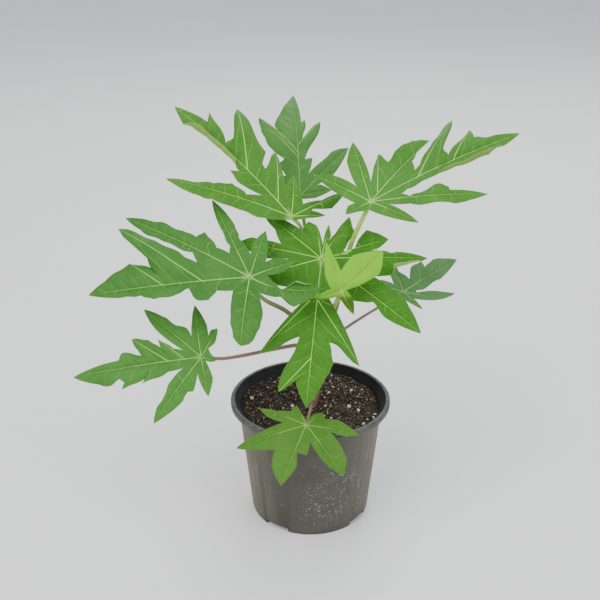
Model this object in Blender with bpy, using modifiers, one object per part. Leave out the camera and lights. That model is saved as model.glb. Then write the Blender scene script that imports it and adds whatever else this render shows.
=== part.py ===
"""A young papaya plant in a round nursery pot.

Nine palmate leaves stand on long petioles round one short, leaning stem.  The stem grows from
the root ball that fills the pot.  Lengths are in metres and +Z is up.  The origin is the centre
of the pot's flat underside, and the plant's front faces -Y.
"""
import math
from dataclasses import dataclass

import bmesh
import bpy
import numpy as np
from mathutils import Matrix, Vector

# Clearance between neighbouring solids that touch.
GAP = 0.0003

# Vertices nearer than WELD become one, and edges shorter than SLIVER are closed.
WELD = 0.0001
SLIVER = 0.00005

# Pot: a standard 140 mm round nursery pot with a stepped lip.
POT_RIM_RADIUS = 0.070
POT_HEIGHT = 0.110
POT_BASE_RADIUS = 0.0522
POT_NECK_RADIUS = 0.063
LIP_HEIGHT = 0.0065
LIP_BORE = 0.0655
LIP_EDGE = 0.0010
WALL = 0.0013
POT_STEPS = 48
POT_SMOOTH_ANGLE = math.radians(30)

# Feet: four recesses cut the pot's bottom edge into four feet, each with one drain hole.
RECESS_COUNT = 4
FIRST_RECESS_TURN = math.radians(-125)
RECESS_WIDTH = 0.0235
RECESS_HEIGHT = 0.005
RECESS_INNER = 0.0445
RECESS_OUTER = 0.060
DRAIN_RADIUS = 0.003
DRAIN_DISTANCE = 0.0478
DRAIN_SIDES = 12

# Root ball: peat mix that fills the pot up to a slightly crowned surface.
SOIL_LEVEL = 0.1005
SOIL_EDGE_DROP = 0.0010
SOIL_CROWN_RADIUS = 0.013

# Stem: leans over just above the soil, then rises almost straight.
STEM_FOOT_X = 0.0005
STEM_HEIGHT = 0.0885
STEM_LEAN = 0.0085
STEM_LEAN_LENGTH = 0.022
STEM_RADIUS = 0.0037
STEM_TAPER = 0.0007
FLARE = 0.0012
FLARE_LENGTH = 0.004
TIP_LENGTH = 0.006
TIP_RADIUS = 0.0010
STEM_SIDES = 14
STEM_RINGS = 22
STEM_SMOOTH_ANGLE = math.radians(50)

# Petioles and blades.
PETIOLE_POINTS = 12
PETIOLE_TAPER = 0.7
BLADE_THICKNESS = 0.0020
VEIN_SPLAY = math.radians(48)
MARGIN_STEP = 0.010
CLOSEST_STEP = 0.030
CLOSEST_CORNER = 0.012
FIRST_FOOT = 0.06
LAST_FOOT = 0.45
FOOT_STEP = 0.030
TOOTH_CURL = 0.03
EDGE_BULGE = 0.03
END_BULGE = 0.035
WEB_SHARES = (0.0, 0.5)
SAME_FOOT = 1e-6


@dataclass(frozen=True)
class Lobe:
    """One finger of a leaf.

    turn is its bearing in the blade in degrees, anticlockwise from the blade's own right, and
    reach its length from the leaf's junction.  cleft is the bearing and the distance of the gap
    between it and the next lobe anticlockwise.  right and left are the margins on its clockwise
    and anticlockwise side: tooth, notch, tooth and so on, each as fractions of the reach along
    the midrib and out from it.  lift and droop bend it out of the blade's plane, and sweep
    bends it sideways, in degrees.
    """

    turn: float
    reach: float
    cleft: tuple
    right: tuple = ()
    left: tuple = ()
    lift: float = 8.0
    droop: float = 24.0
    sweep: float = 0.0


@dataclass(frozen=True)
class Leaf:
    """A blade: where its veins meet, the azimuth and elevation it faces, and its lobes."""

    junction: tuple
    facing: tuple
    lobes: tuple


@dataclass(frozen=True)
class Petiole:
    """A leaf stalk: its height on the stem, its bearing and rise there, and its radii."""

    height: float
    turn: float
    rise: float
    base_radius: float
    end_radius: float
    via: tuple = ()


LEAF_UPPER_LEFT = Leaf(
    junction=(-0.016, -0.012, 0.282),
    facing=(-68, 42),
    lobes=(
        Lobe(355, 0.030, cleft=(11, 0.019), right=((0.45, 0.08),), left=((0.6, 0.12),)),
        Lobe(17, 0.056, cleft=(36, 0.015), right=((0.63, 0.14),), left=((0.55, 0.02),)),
        Lobe(71, 0.038, cleft=(88, 0.026), right=((0.67, 0.12),), left=((0.73, 0.15),)),
        Lobe(122, 0.133, cleft=(135, 0.028),
             right=((0.37, 0.26), (0.32, 0.09), (0.37, 0.1), (0.4, 0.18), (0.73, 0.27),
                    (0.59, 0.09), (0.6, 0.03), (0.82, 0.12), (0.77, 0.06)),
             left=((0.35, 0.1), (0.45, 0.09), (0.39, 0.04), (0.57, 0.06), (0.72, 0.05), (0.8, 0.08))),
        Lobe(152, 0.105, cleft=(263, 0.003),
             right=((0.38, 0.04), (0.51, 0.09), (0.64, 0.05), (0.8, 0.02)),
             left=((0.22, 0.1), (0.4, 0.1), (0.62, 0.08), (0.77, 0.08))),
    ),
)

LEAF_UPPER_BACK = Leaf(
    junction=(-0.009, 0.042, 0.281),
    facing=(-80, 50),
    lobes=(
        Lobe(10, 0.029, cleft=(33, 0.013), right=((0.43, 0.19),), left=((0.68, 0.2),)),
        Lobe(44, 0.071, cleft=(64, 0.023),
             right=((0.48, 0.12),), left=((0.56, 0.1), (0.59, 0.1), (0.82, 0.09))),
        Lobe(85, 0.111, cleft=(116, 0.022),
             right=((0.33, 0.11), (0.32, 0.05), (0.69, 0.19), (0.49, 0.04), (0.71, 0.07), (0.66, 0.04)),
             left=((0.28, 0.15), (0.32, 0.11), (0.42, 0.2), (0.59, 0.27), (0.74, 0.28),
                   (0.62, 0.23), (0.52, 0.13), (0.58, 0.14), (0.65, 0.17))),
        Lobe(136, 0.037, cleft=(156, 0.013), right=((0.73, 0.09),), left=((0.6, 0.16),)),
        Lobe(182, 0.028, cleft=(260, 0.003), right=((0.6, 0.16),), left=((0.65, 0.15),)),
    ),
)

LEAF_UPPER_RIGHT = Leaf(
    junction=(0.046, -0.028, 0.300),
    facing=(-105, 42),
    lobes=(
        Lobe(342, 0.042, cleft=(355, 0.014), right=((0.44, 0.15),), left=((0.66, 0.07),)),
        Lobe(11, 0.091, cleft=(19, 0.025),
             right=((0.34, 0.06), (0.64, 0.07), (0.74, 0.08)),
             left=((0.34, 0.01), (0.46, 0.04), (0.59, 0.1), (0.67, 0.07), (0.68, 0.04))),
        Lobe(34, 0.130, cleft=(42, 0.042),
             right=((0.23, 0.04), (0.36, 0.04), (0.56, 0.07), (0.77, 0.09), (0.82, 0.05)),
             left=((0.37, 0.07), (0.51, 0.19), (0.69, 0.29), (0.53, 0.09),
                   (0.54, 0.04), (0.74, 0.15), (0.73, 0.08), (0.82, 0.05))),
        Lobe(57, 0.070, cleft=(98, 0.016),
             right=((0.66, 0.04), (0.83, -0.02)),
             left=((0.49, 0.32), (0.48, 0.16), (0.68, 0.18), (0.86, 0.14))),
        Lobe(114, 0.057, cleft=(139, 0.017), right=((0.43, 0.09),), left=((0.69, 0.16),)),
        Lobe(158, 0.054, cleft=(192, 0.012), right=((0.7, 0.11),), left=((0.49, 0.12),)),
        Lobe(213, 0.022, cleft=(268, 0.007), right=((0.8, 0.21),), left=((0.6, 0.14),)),
    ),
)

LEAF_MID_LEFT = Leaf(
    junction=(-0.048, -0.058, 0.249),
    facing=(-100, 46),
    lobes=(
        Lobe(356, 0.058, cleft=(15, 0.013), sweep=26,
             right=((0.4, 0.16), (0.52, 0.13), (0.7, 0.27)),
             left=((0.35, 0.04), (0.49, -0.01), (0.67, 0.11))),
        Lobe(26, 0.037, cleft=(50, 0.017), right=((0.72, 0.13),), left=((0.65, 0.2),)),
        Lobe(81, 0.042, cleft=(95, 0.019), right=((0.6, 0.17),), left=((0.7, 0.13),)),
        Lobe(122, 0.080, cleft=(136, 0.026),
             right=((0.42, 0.07), (0.57, 0.09)), left=((0.38, 0.04), (0.6, 0.05))),
        Lobe(157, 0.123, cleft=(170, 0.043),
             right=((0.29, 0.07), (0.42, 0.13), (0.45, 0.07), (0.55, 0.07), (0.77, 0.05)),
             left=((0.41, 0.03), (0.63, 0.05), (0.83, 0.04))),
        Lobe(190, 0.131, cleft=(229, 0.017), lift=3, droop=12,
             right=((0.39, 0.16), (0.57, 0.29), (0.81, 0.41), (0.63, 0.21), (0.59, 0.11), (0.73, 0.16)),
             left=((0.2, 0.07), (0.25, 0.13), (0.32, 0.12), (0.37, 0.04),
                   (0.44, 0.07), (0.58, 0.09), (0.66, 0.05), (0.78, 0.05))),
        Lobe(270, 0.056, cleft=(314, 0.015),
             right=((0.63, 0.17), (0.89, 0.11)), left=((0.46, 0.28), (0.74, 0.26), (0.97, 0.12))),
    ),
)

LEAF_LOW_LEFT = Leaf(
    junction=(-0.089, -0.052, 0.176),
    facing=(-98, 38),
    lobes=(
        Lobe(350, 0.013, cleft=(54, 0.009), right=((0.64, 0.17),), left=((0.56, 0.33),)),
        Lobe(66, 0.027, cleft=(77, 0.018), right=((0.57, 0.16),), left=((0.86, 0.16),)),
        Lobe(104, 0.045, cleft=(120, 0.019), right=((0.57, 0.18),), left=((0.67, 0.08),)),
        Lobe(145, 0.066, cleft=(164, 0.016),
             right=((0.37, 0.16), (0.51, 0.1), (0.72, 0.08)), left=((0.67, 0.1),)),
        Lobe(192, 0.110, cleft=(217, 0.017),
             right=((0.2, 0.09), (0.31, 0.18), (0.28, 0.09), (0.38, 0.18),
                    (0.5, 0.2), (0.44, 0.07), (0.58, 0.11), (0.62, 0.06)),
             left=((0.25, 0.08), (0.45, 0.14), (0.41, 0.09), (0.61, 0.16),
                   (0.58, 0.11), (0.62, 0.08), (0.7, 0.12), (0.83, 0.08))),
        Lobe(239, 0.066, cleft=(265, 0.014),
             right=((0.45, 0.12), (0.65, 0.08), (0.87, 0.06)),
             left=((0.39, 0.18), (0.44, 0.13), (0.61, 0.14))),
        Lobe(286, 0.033, cleft=(325, 0.005), right=((0.69, 0.11),), left=((0.58, 0.2),)),
    ),
)

LEAF_FRONT = Leaf(
    junction=(0.008, -0.030, 0.253),
    facing=(-90, 34),
    lobes=(
        Lobe(1, 0.086, cleft=(11, 0.025),
             right=((0.57, 0.18), (0.73, 0.13), (0.82, 0.08)),
             left=((0.58, 0.06), (0.65, 0.04), (0.73, 0.05))),
        Lobe(17, 0.057, cleft=(8, 0.021),
             right=((0.8, 0.1),), left=((0.48, -0.02), (0.57, 0.1), (0.73, 0.21))),
        Lobe(57, 0.042, cleft=(69, 0.013),
             right=((0.36, 0.27), (0.58, 0.26), (0.75, 0.27), (0.86, 0.14)), left=((0.54, 0.04),)),
        Lobe(78, 0.029, cleft=(83, 0.01), right=((0.67, 0.13),), left=((0.58, 0.05),)),
        Lobe(98, 0.028, cleft=(123, 0.028), right=((0.62, 0.08),), left=((1.15, 0.21),)),
        Lobe(138, 0.069, cleft=(160, 0.034), lift=-6, right=((0.54, 0.1),), left=((0.66, 0.09),)),
        Lobe(168, 0.069, cleft=(180, 0.023),
             right=((0.64, 0.08), (0.72, 0.06), (0.85, 0.08)), left=((0.67, 0.14),)),
        Lobe(196, 0.081, cleft=(260, 0.026), right=((0.59, 0.08),), left=((0.58, 0.1),)),
        Lobe(264, 0.120, cleft=(278, 0.03),
             right=((0.67, 0.34), (0.54, 0.09), (0.91, 0.19), (0.82, 0.09)),
             left=((0.69, 0.32), (0.57, 0.16), (0.55, 0.1), (0.69, 0.15), (0.78, 0.11))),
        Lobe(323, 0.100, cleft=(340, 0.043),
             right=((0.49, 0.08), (0.54, 0.04), (0.7, 0.08)), left=((0.73, 0.13),)),
    ),
)

LEAF_YOUNG = Leaf(
    junction=(0.023, -0.066, 0.240),
    facing=(-80, 18),
    lobes=(
        Lobe(40, 0.046, cleft=(90, 0.016), right=((0.67, 0.23),), left=((0.54, 0.32),)),
        Lobe(104, 0.040, cleft=(162, 0.009), right=((0.71, 0.04),), left=((0.41, 0.22),)),
        Lobe(189, 0.029, cleft=(218, 0.006), right=((0.7, 0.04),), left=((0.67, 0.07),)),
        Lobe(295, 0.021, cleft=(14, 0.004), right=((0.2, 0.18),), left=((0.48, 0.23),)),
    ),
)

LEAF_MID_RIGHT = Leaf(
    junction=(0.080, 0.022, 0.201),
    facing=(-70, 44),
    lobes=(
        Lobe(351, 0.050, cleft=(358, 0.012), sweep=18,
             right=((0.45, 0.11),), left=((0.58, 0.08),)),
        Lobe(21, 0.066, cleft=(47, 0.013),
             right=((0.17, 0.05), (0.56, 0.1)),
             left=((0.29, 0.22), (0.48, 0.22), (0.46, 0.12), (0.64, 0.16))),
        Lobe(93, 0.029, cleft=(131, 0.01), right=((0.63, 0.07),), left=((0.66, 0.25),)),
        Lobe(157, 0.032, cleft=(170, 0.01), right=((0.63, 0.18),), left=((0.6, 0.11),)),
        Lobe(193, 0.020, cleft=(240, 0.006), right=((0.57, 0.15),), left=((0.61, 0.23),)),
        Lobe(307, 0.023, cleft=(313, 0.011), right=((0.47, 0.19),), left=((0.7, 0.04),)),
    ),
)

LEAF_LOWEST = Leaf(
    junction=(-0.004, -0.0632, 0.119),
    facing=(-92, 48),
    lobes=(
        Lobe(351, 0.044, cleft=(19, 0.016), right=((0.74, 0.09),), left=((0.58, 0.19),)),
        Lobe(41, 0.017, cleft=(79, 0.003), right=((0.96, 0.28),), left=((0.63, 0.16),)),
        Lobe(117, 0.019, cleft=(140, 0.017), right=((0.52, 0.05),), left=((0.96, 0.19),)),
        Lobe(160, 0.042, cleft=(176, 0.019), right=((0.66, 0.05),), left=((0.77, 0.12),)),
        Lobe(199, 0.061, cleft=(221, 0.033), right=((0.6, 0.09),), left=((0.67, 0.15),)),
        Lobe(249, 0.054, cleft=(284, 0.015),
             right=((0.79, 0.24),), left=((0.43, 0.19), (0.46, 0.04), (0.67, 0.11))),
        Lobe(307, 0.052, cleft=(344, 0.021), right=((0.66, 0.13),), left=((0.8, 0.2),)),
    ),
)

PETIOLES = {
    "upper_left": Petiole(0.0775, 175, 62, 0.0019, 0.0014,
                          via=((-0.0058, -0.0060, 0.2612), (-0.0095, -0.0105, 0.2741))),
    "upper_back": Petiole(0.0735, 100, 62, 0.0019, 0.0014),
    "upper_right": Petiole(0.0755, -30, 62, 0.0022, 0.0018, via=((0.0314, -0.0252, 0.2626),)),
    "mid_left": Petiole(0.0685, 216, 44, 0.0022, 0.0017,
                        via=((-0.0195, -0.0255, 0.2038), (-0.0405, -0.0500, 0.2290))),
    "low_left": Petiole(0.0615, 206, 14, 0.0019, 0.0014, via=((-0.0705, -0.0430, 0.1701),)),
    "front": Petiole(0.0715, 262, 50, 0.0022, 0.0017),
    "young": Petiole(0.0785, 283, 40, 0.0020, 0.0016),
    "mid_right": Petiole(0.0595, 12, 44, 0.0015, 0.0011),
    "lowest": Petiole(0.006, 265, 20, 0.0016, 0.0012),
}

LEAVES = {
    "upper_left": LEAF_UPPER_LEFT,
    "upper_back": LEAF_UPPER_BACK,
    "upper_right": LEAF_UPPER_RIGHT,
    "mid_left": LEAF_MID_LEFT,
    "low_left": LEAF_LOW_LEFT,
    "front": LEAF_FRONT,
    "young": LEAF_YOUNG,
    "mid_right": LEAF_MID_RIGHT,
    "lowest": LEAF_LOWEST,
}


LEAF_COLOURS = {
    "upper_left": (0.085, 0.235, 0.040),
    "upper_back": (0.065, 0.205, 0.050),
    "upper_right": (0.080, 0.215, 0.065),
    "mid_left": (0.075, 0.215, 0.045),
    "low_left": (0.080, 0.215, 0.055),
    "front": (0.080, 0.245, 0.025),
    "young": (0.230, 0.430, 0.075),
    "mid_right": (0.065, 0.180, 0.045),
    "lowest": (0.100, 0.230, 0.045),
}

PETIOLE_COLOURS = {
    "upper_left": (0.260, 0.300, 0.070),
    "upper_back": (0.270, 0.330, 0.080),
    "upper_right": (0.400, 0.440, 0.080),
    "mid_left": (0.230, 0.160, 0.080),
    "low_left": (0.200, 0.120, 0.085),
    "front": (0.260, 0.280, 0.080),
    "young": (0.330, 0.330, 0.080),
    "mid_right": (0.190, 0.120, 0.080),
    "lowest": (0.130, 0.060, 0.035),
}


def direction(turn):
    """Unit vectors in the blade's plane at bearings in radians."""
    return np.stack([np.cos(turn), np.sin(turn)], axis=-1)


def between_lobes(turn, lobes, name):
    """A lobe's value at each bearing, eased from one lobe to the next round the leaf."""
    ordered = sorted(lobes, key=lambda lobe: lobe.turn)
    stops = [lobe.turn for lobe in ordered]
    values = [getattr(lobe, name) for lobe in ordered]
    stops = np.array([stops[-1] - 360, *stops, stops[0] + 360])
    values = np.array([values[-1], *values, values[0]])
    bearing = np.degrees(turn) % 360
    index = np.clip(np.searchsorted(stops, bearing, side="right") - 1, 0, len(stops) - 2)
    share = (bearing - stops[index]) / (stops[index + 1] - stops[index])
    eased = 0.5 - 0.5 * np.cos(math.pi * np.clip(share, 0, 1))
    return values[index] * (1 - eased) + values[index + 1] * eased


def blade_axes(facing):
    """The blade's right, up and outward directions from the azimuth and elevation it faces."""
    azimuth, elevation = np.radians(facing)
    level = math.cos(elevation)
    outward = np.array([math.cos(azimuth) * level, math.sin(azimuth) * level, math.sin(elevation)])
    right = np.cross((0, 0, 1), outward)
    right /= np.linalg.norm(right)
    return right, np.cross(outward, right), outward


def bend(flat, leaf):
    """Lay points of the blade's plane on its curved surface, each along an arc from the junction."""
    distance = np.hypot(flat[..., 0], flat[..., 1])
    turn = np.arctan2(flat[..., 1], flat[..., 0])
    reach = between_lobes(turn, leaf.lobes, "reach")
    lift = np.radians(between_lobes(turn, leaf.lobes, "lift"))
    curvature = np.radians(between_lobes(turn, leaf.lobes, "droop")) / reach
    sweep = np.radians(between_lobes(turn, leaf.lobes, "sweep")) * (distance / reach - 1)
    along = (np.sin(lift) - np.sin(lift - curvature * distance)) / curvature
    rise = (np.cos(lift - curvature * distance) - np.cos(lift)) / curvature
    right, up, outward = blade_axes(leaf.facing)
    heading = direction(turn + sweep)
    spread = heading[..., :1] * right + heading[..., 1:] * up
    return np.array(leaf.junction) + along[..., None] * spread + rise[..., None] * outward


def margin_keys(leaf, index, side):
    """Corner points of one side of a lobe, from cleft to tip, and their feet on its midrib.

    The line from a tooth that leans over the next notch passes inside that notch.
    """
    lobe = leaf.lobes[index]
    turned = math.pi / 2 if side == "left" else -math.pi / 2
    cleft_turn, cleft_distance = (lobe if side == "left" else leaf.lobes[index - 1]).cleft
    axis = direction(math.radians(lobe.turn))
    across = direction(math.radians(lobe.turn) + turned)
    cleft = cleft_distance * direction(math.radians(cleft_turn))
    corners = [cleft / lobe.reach] + [x * axis + y * across for x, y in getattr(lobe, side)] + [axis]
    feet = [corner @ axis - corner @ across / math.tan(VEIN_SPLAY) for corner in corners]
    for number in range(1, len(corners) - 2):
        tooth, notch = corners[number], corners[number + 1]
        along, out = (tooth - notch) @ axis, (tooth - notch) @ across
        if along > 0 and out > 0:
            passing = notch @ axis - along * (notch @ across) / out
            feet[number] = min(feet[number], passing)
    feet[-1] = 1.0
    return np.array(corners) * lobe.reach, feet


def ordered_feet(feet, first):
    """Feet kept in order along the midrib, FOOT_STEP or more apart, from the end of the web."""
    ordered = [first]
    for number, foot in enumerate(feet[1:-1], start=1):
        latest = 1 - FOOT_STEP * (len(feet) - 1 - number)
        ordered.append(min(max(foot, ordered[-1] + FOOT_STEP), latest))
    return ordered + [1.0]


def midrib_stops(corners, feet):
    """Where the cross veins of both sides leave the midrib."""
    corner_feet = {round(foot, 4) for side in feet for foot in feet[side]}
    stops = set()
    for side in feet:
        for number in range(len(feet[side]) - 1):
            length = np.linalg.norm(corners[side][number + 1] - corners[side][number])
            count = max(1, round(length / MARGIN_STEP))
            stops.update(np.round(np.linspace(feet[side][number], feet[side][number + 1], count + 1), 4))
    kept = []
    for stop in sorted(stops):
        if not kept or stop - kept[-1] >= CLOSEST_STEP:
            kept.append(stop)
        elif stop in corner_feet and kept[-1] not in corner_feet:
            kept[-1] = stop
        elif stop in corner_feet and stop - kept[-1] > CLOSEST_CORNER:
            kept.append(stop)
    kept[0] = feet["left"][0]
    kept[-1] = 1.0
    return np.array(kept)


def margin_curve(corners, feet, stops, side):
    """The margin at each stop: gentle S-shaped edges between teeth and notches."""
    outward = -1 if side == "left" else 1
    points = np.zeros((len(stops), 2))
    for number in range(len(feet) - 1):
        inside = (stops >= feet[number] - SAME_FOOT) & (stops <= feet[number + 1] + SAME_FOOT)
        share = np.clip((stops[inside] - feet[number]) / (feet[number + 1] - feet[number]), 0, 1)
        chord = corners[number + 1] - corners[number]
        is_last = number == len(feet) - 2
        curl = 0.0 if number == 0 or is_last else TOOTH_CURL * (1 if number % 2 else -1)
        bulge = END_BULGE if is_last else EDGE_BULGE
        swell = bulge * 4 * share * (1 - share) + curl * np.sin(2 * math.pi * share)
        normal = outward * np.array([chord[1], -chord[0]])
        points[inside] = corners[number] + share[:, None] * chord + swell[:, None] * normal
    return points


def half_lobe(leaf, index, side):
    """A lobe's half as rows of two plane points, on the midrib and on the margin.

    The first rows are the web that joins neighbouring lobes between the junction and the cleft.
    """
    lobe = leaf.lobes[index]
    keys = {name: margin_keys(leaf, index, name) for name in ("right", "left")}
    corners = {name: keys[name][0] for name in keys}
    web = 0.5 * sum(max(keys[name][1][0], 0) for name in keys)
    web = min(max(web, FIRST_FOOT), LAST_FOOT)
    feet = {name: ordered_feet(keys[name][1], web) for name in keys}
    stops = midrib_stops(corners, feet)
    axis = lobe.reach * direction(math.radians(lobe.turn))
    margin = margin_curve(corners[side], feet[side], stops, side)
    shares = np.array(WEB_SHARES)[:, None]
    midrib = np.vstack([shares * stops[0] * axis, stops[:, None] * axis])
    margin = np.vstack([shares * corners[side][0], margin])
    return np.stack([midrib, margin], axis=1)


def blade_mesh(name, leaf):
    """The blade's middle surface: every half lobe, welded along midribs and webs."""
    shape = bmesh.new()
    for index in range(len(leaf.lobes)):
        for side in ("right", "left"):
            rows = bend(half_lobe(leaf, index, side), leaf)
            verts = [[shape.verts.new(point) for point in row] for row in rows]
            for lower, upper in zip(verts[:-1], verts[1:]):
                ring = (lower[0], lower[1], upper[1], upper[0])
                shape.faces.new(ring if side == "right" else ring[::-1])
    bmesh.ops.remove_doubles(shape, verts=shape.verts, dist=WELD)
    bmesh.ops.dissolve_degenerate(shape, edges=shape.edges, dist=SLIVER)
    mesh = bpy.data.meshes.new(name)
    shape.to_mesh(mesh)
    shape.free()
    return mesh


def material(name, colour, roughness):
    """A plain Principled material."""
    finish = bpy.data.materials.new(name)
    finish.use_nodes = True
    shader = finish.node_tree.nodes["Principled BSDF"]
    shader.inputs["Base Color"].default_value = (*colour, 1.0)
    shader.inputs["Roughness"].default_value = roughness
    shader.inputs["Metallic"].default_value = 0.0
    finish.diffuse_color = (*colour, 1.0)
    return finish


def add_object(name, data, collection, finish=None):
    """Link new mesh or curve data into a collection as an object."""
    thing = bpy.data.objects.new(name, data)
    collection.objects.link(thing)
    if finish:
        data.materials.append(finish)
    return thing


def add_blade(name, leaf, collection, finish):
    """A leaf blade: one thin closed solid."""
    blade = add_object(name, blade_mesh(name, leaf), collection, finish)
    shell = blade.modifiers.new("Thickness", "SOLIDIFY")
    shell.thickness = BLADE_THICKNESS
    shell.offset = 0.0
    blade.data.shade_smooth()
    return blade


def turned_mesh(name, profile, steps):
    """A closed solid turned about +Z from a profile whose ends lie on the axis."""
    shape = bmesh.new()
    verts = [shape.verts.new((radius, 0.0, height)) for radius, height in profile]
    for first, second in zip(verts[:-1], verts[1:]):
        shape.edges.new((first, second))
    bmesh.ops.spin(
        shape,
        geom=shape.verts[:] + shape.edges[:],
        cent=(0, 0, 0),
        axis=(0, 0, 1),
        angle=math.tau,
        steps=steps,
        use_merge=False,
    )
    bmesh.ops.remove_doubles(shape, verts=shape.verts, dist=SLIVER)
    bmesh.ops.recalc_face_normals(shape, faces=shape.faces)
    mesh = bpy.data.meshes.new(name)
    shape.to_mesh(mesh)
    shape.free()
    return mesh


def wall_radius(height):
    """Outer radius of the tapered wall below the lip."""
    return POT_BASE_RADIUS + (POT_NECK_RADIUS - POT_BASE_RADIUS) * height / (POT_HEIGHT - LIP_HEIGHT)


def outer_profile():
    """The pot's outside, from the middle of its lip down to the centre of its underside."""
    neck = POT_HEIGHT - LIP_HEIGHT
    return [
        (0.0, POT_HEIGHT),
        (POT_RIM_RADIUS - LIP_EDGE, POT_HEIGHT),
        (POT_RIM_RADIUS, POT_HEIGHT - LIP_EDGE),
        (POT_RIM_RADIUS, neck + 2 * LIP_EDGE),
        (POT_RIM_RADIUS - LIP_EDGE, neck + LIP_EDGE),
        (POT_NECK_RADIUS, neck),
        (wall_radius(2 * WALL), 2 * WALL),
        (POT_BASE_RADIUS - LIP_EDGE, 0.0),
        (0.0, 0.0),
    ]


def cavity_profile(top, inset=0.0):
    """The pot's inside, or the root ball in it, from above down to its floor."""
    ledge = POT_HEIGHT - LIP_HEIGHT + WALL
    floor = WALL + inset
    profile = [(0.0, top)]
    if top > POT_HEIGHT:
        profile += [
            (LIP_BORE + 2 * LIP_EDGE, top),
            (LIP_BORE + 2 * LIP_EDGE, POT_HEIGHT + LIP_EDGE),
            (LIP_BORE, POT_HEIGHT - LIP_EDGE),
            (LIP_BORE - LIP_EDGE, ledge + LIP_EDGE),
            (wall_radius(ledge) - WALL, ledge),
        ]
    else:
        edge = top - SOIL_EDGE_DROP
        profile += [(SOIL_CROWN_RADIUS, top), (wall_radius(edge) - WALL - inset, edge)]
    profile += [(wall_radius(floor) - WALL - inset, floor), (0.0, floor)]
    return profile


def recess_blocks(name, growth, collection):
    """The four recesses of the foot as one cutter, grown by a wall or a clearance."""
    shape = bmesh.new()
    length = RECESS_OUTER - RECESS_INNER + 2 * growth
    height = 2 * (RECESS_HEIGHT + growth)
    for number in range(RECESS_COUNT):
        turn = FIRST_RECESS_TURN + number * math.tau / RECESS_COUNT
        place = Matrix.Rotation(turn, 4, "Z")
        place @= Matrix.Translation(((RECESS_INNER + RECESS_OUTER) / 2, 0, 0))
        place @= Matrix.Diagonal((length, RECESS_WIDTH + 2 * growth, height, 1))
        bmesh.ops.create_cube(shape, size=1.0, matrix=place)
    mesh = bpy.data.meshes.new(name)
    shape.to_mesh(mesh)
    shape.free()
    return as_cutter(add_object(name, mesh, collection))


def drain_holes(name, collection):
    """One upright drain hole through the roof of each recess."""
    shape = bmesh.new()
    for number in range(RECESS_COUNT):
        turn = FIRST_RECESS_TURN + number * math.tau / RECESS_COUNT
        place = Matrix.Rotation(turn, 4, "Z")
        place @= Matrix.Translation((DRAIN_DISTANCE, 0, RECESS_HEIGHT))
        bmesh.ops.create_cone(
            shape,
            cap_ends=True,
            segments=DRAIN_SIDES,
            radius1=DRAIN_RADIUS,
            radius2=DRAIN_RADIUS,
            depth=4 * WALL,
            matrix=place,
        )
    mesh = bpy.data.meshes.new(name)
    shape.to_mesh(mesh)
    shape.free()
    return as_cutter(add_object(name, mesh, collection))


def as_cutter(thing):
    """Mark an object as a cutter, which is no part of the model."""
    thing.hide_render = True
    thing.display_type = "WIRE"
    return thing


def cut(thing, cutter):
    """Cut one object by another."""
    boolean = thing.modifiers.new("Cut", "BOOLEAN")
    boolean.operation = "DIFFERENCE"
    boolean.solver = "EXACT"
    boolean.object = cutter


def add_pot(collection, cutters, finish):
    """The pot: a thin shell with a stepped lip, feet, recesses and drain holes."""
    cavity_top = POT_HEIGHT + LIP_HEIGHT
    cavity_mesh = turned_mesh("pot_cavity", cavity_profile(cavity_top), POT_STEPS)
    cavity = as_cutter(add_object("pot_cavity", cavity_mesh, cutters))
    cut(cavity, recess_blocks("recess_walls", WALL, cutters))
    pot = add_object("pot", turned_mesh("pot", outer_profile(), POT_STEPS), collection, finish)
    cut(pot, recess_blocks("recesses", 0.0, cutters))
    cut(pot, cavity)
    cut(pot, drain_holes("drains", cutters))
    pot.data.shade_smooth()
    pot.data.set_sharp_from_angle(angle=POT_SMOOTH_ANGLE)
    return pot


def add_root_ball(collection, cutters, finish):
    """The root ball, clear of the pot by the usual gap."""
    mesh = turned_mesh("root_ball", cavity_profile(SOIL_LEVEL, GAP), POT_STEPS)
    root_ball = add_object("root_ball", mesh, collection, finish)
    cut(root_ball, recess_blocks("recess_clearance", WALL + GAP, cutters))
    return root_ball


def stem_centre(height):
    """Centre of the stem at a height above the soil."""
    lean = STEM_LEAN * (1 - math.exp(-height / STEM_LEAN_LENGTH))
    return Vector((STEM_FOOT_X + lean, 0.0, SOIL_LEVEL + GAP + height))


def stem_radius(height):
    """Radius of the stem: a flared foot, an even taper and a rounded tip."""
    radius = STEM_RADIUS - STEM_TAPER * height / STEM_HEIGHT
    radius += FLARE * math.exp(-height / FLARE_LENGTH)
    into_tip = max(0.0, (height - STEM_HEIGHT + TIP_LENGTH) / TIP_LENGTH)
    return TIP_RADIUS + (radius - TIP_RADIUS) * math.sqrt(1 - into_tip**2)


def add_stem(collection, finish):
    """The stem: a cylinder whose rings follow its lean and its radius."""
    shape = bmesh.new()
    bmesh.ops.create_cone(
        shape, cap_ends=True, segments=STEM_SIDES, radius1=1.0, radius2=1.0, depth=1.0
    )
    upright = [edge for edge in shape.edges if abs(edge.verts[0].co.z - edge.verts[1].co.z) > 0.5]
    bmesh.ops.subdivide_edges(shape, edges=upright, cuts=STEM_RINGS, use_grid_fill=True)
    for vert in shape.verts:
        height = STEM_HEIGHT * (vert.co.z + 0.5)
        centre = stem_centre(height)
        radius = stem_radius(height)
        vert.co = centre + radius * Vector((vert.co.x, vert.co.y, 0.0))
    mesh = bpy.data.meshes.new("stem")
    shape.to_mesh(mesh)
    shape.free()
    stem = add_object("stem", mesh, collection, finish)
    stem.data.shade_smooth()
    stem.data.set_sharp_from_angle(angle=STEM_SMOOTH_ANGLE)
    return stem


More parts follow.
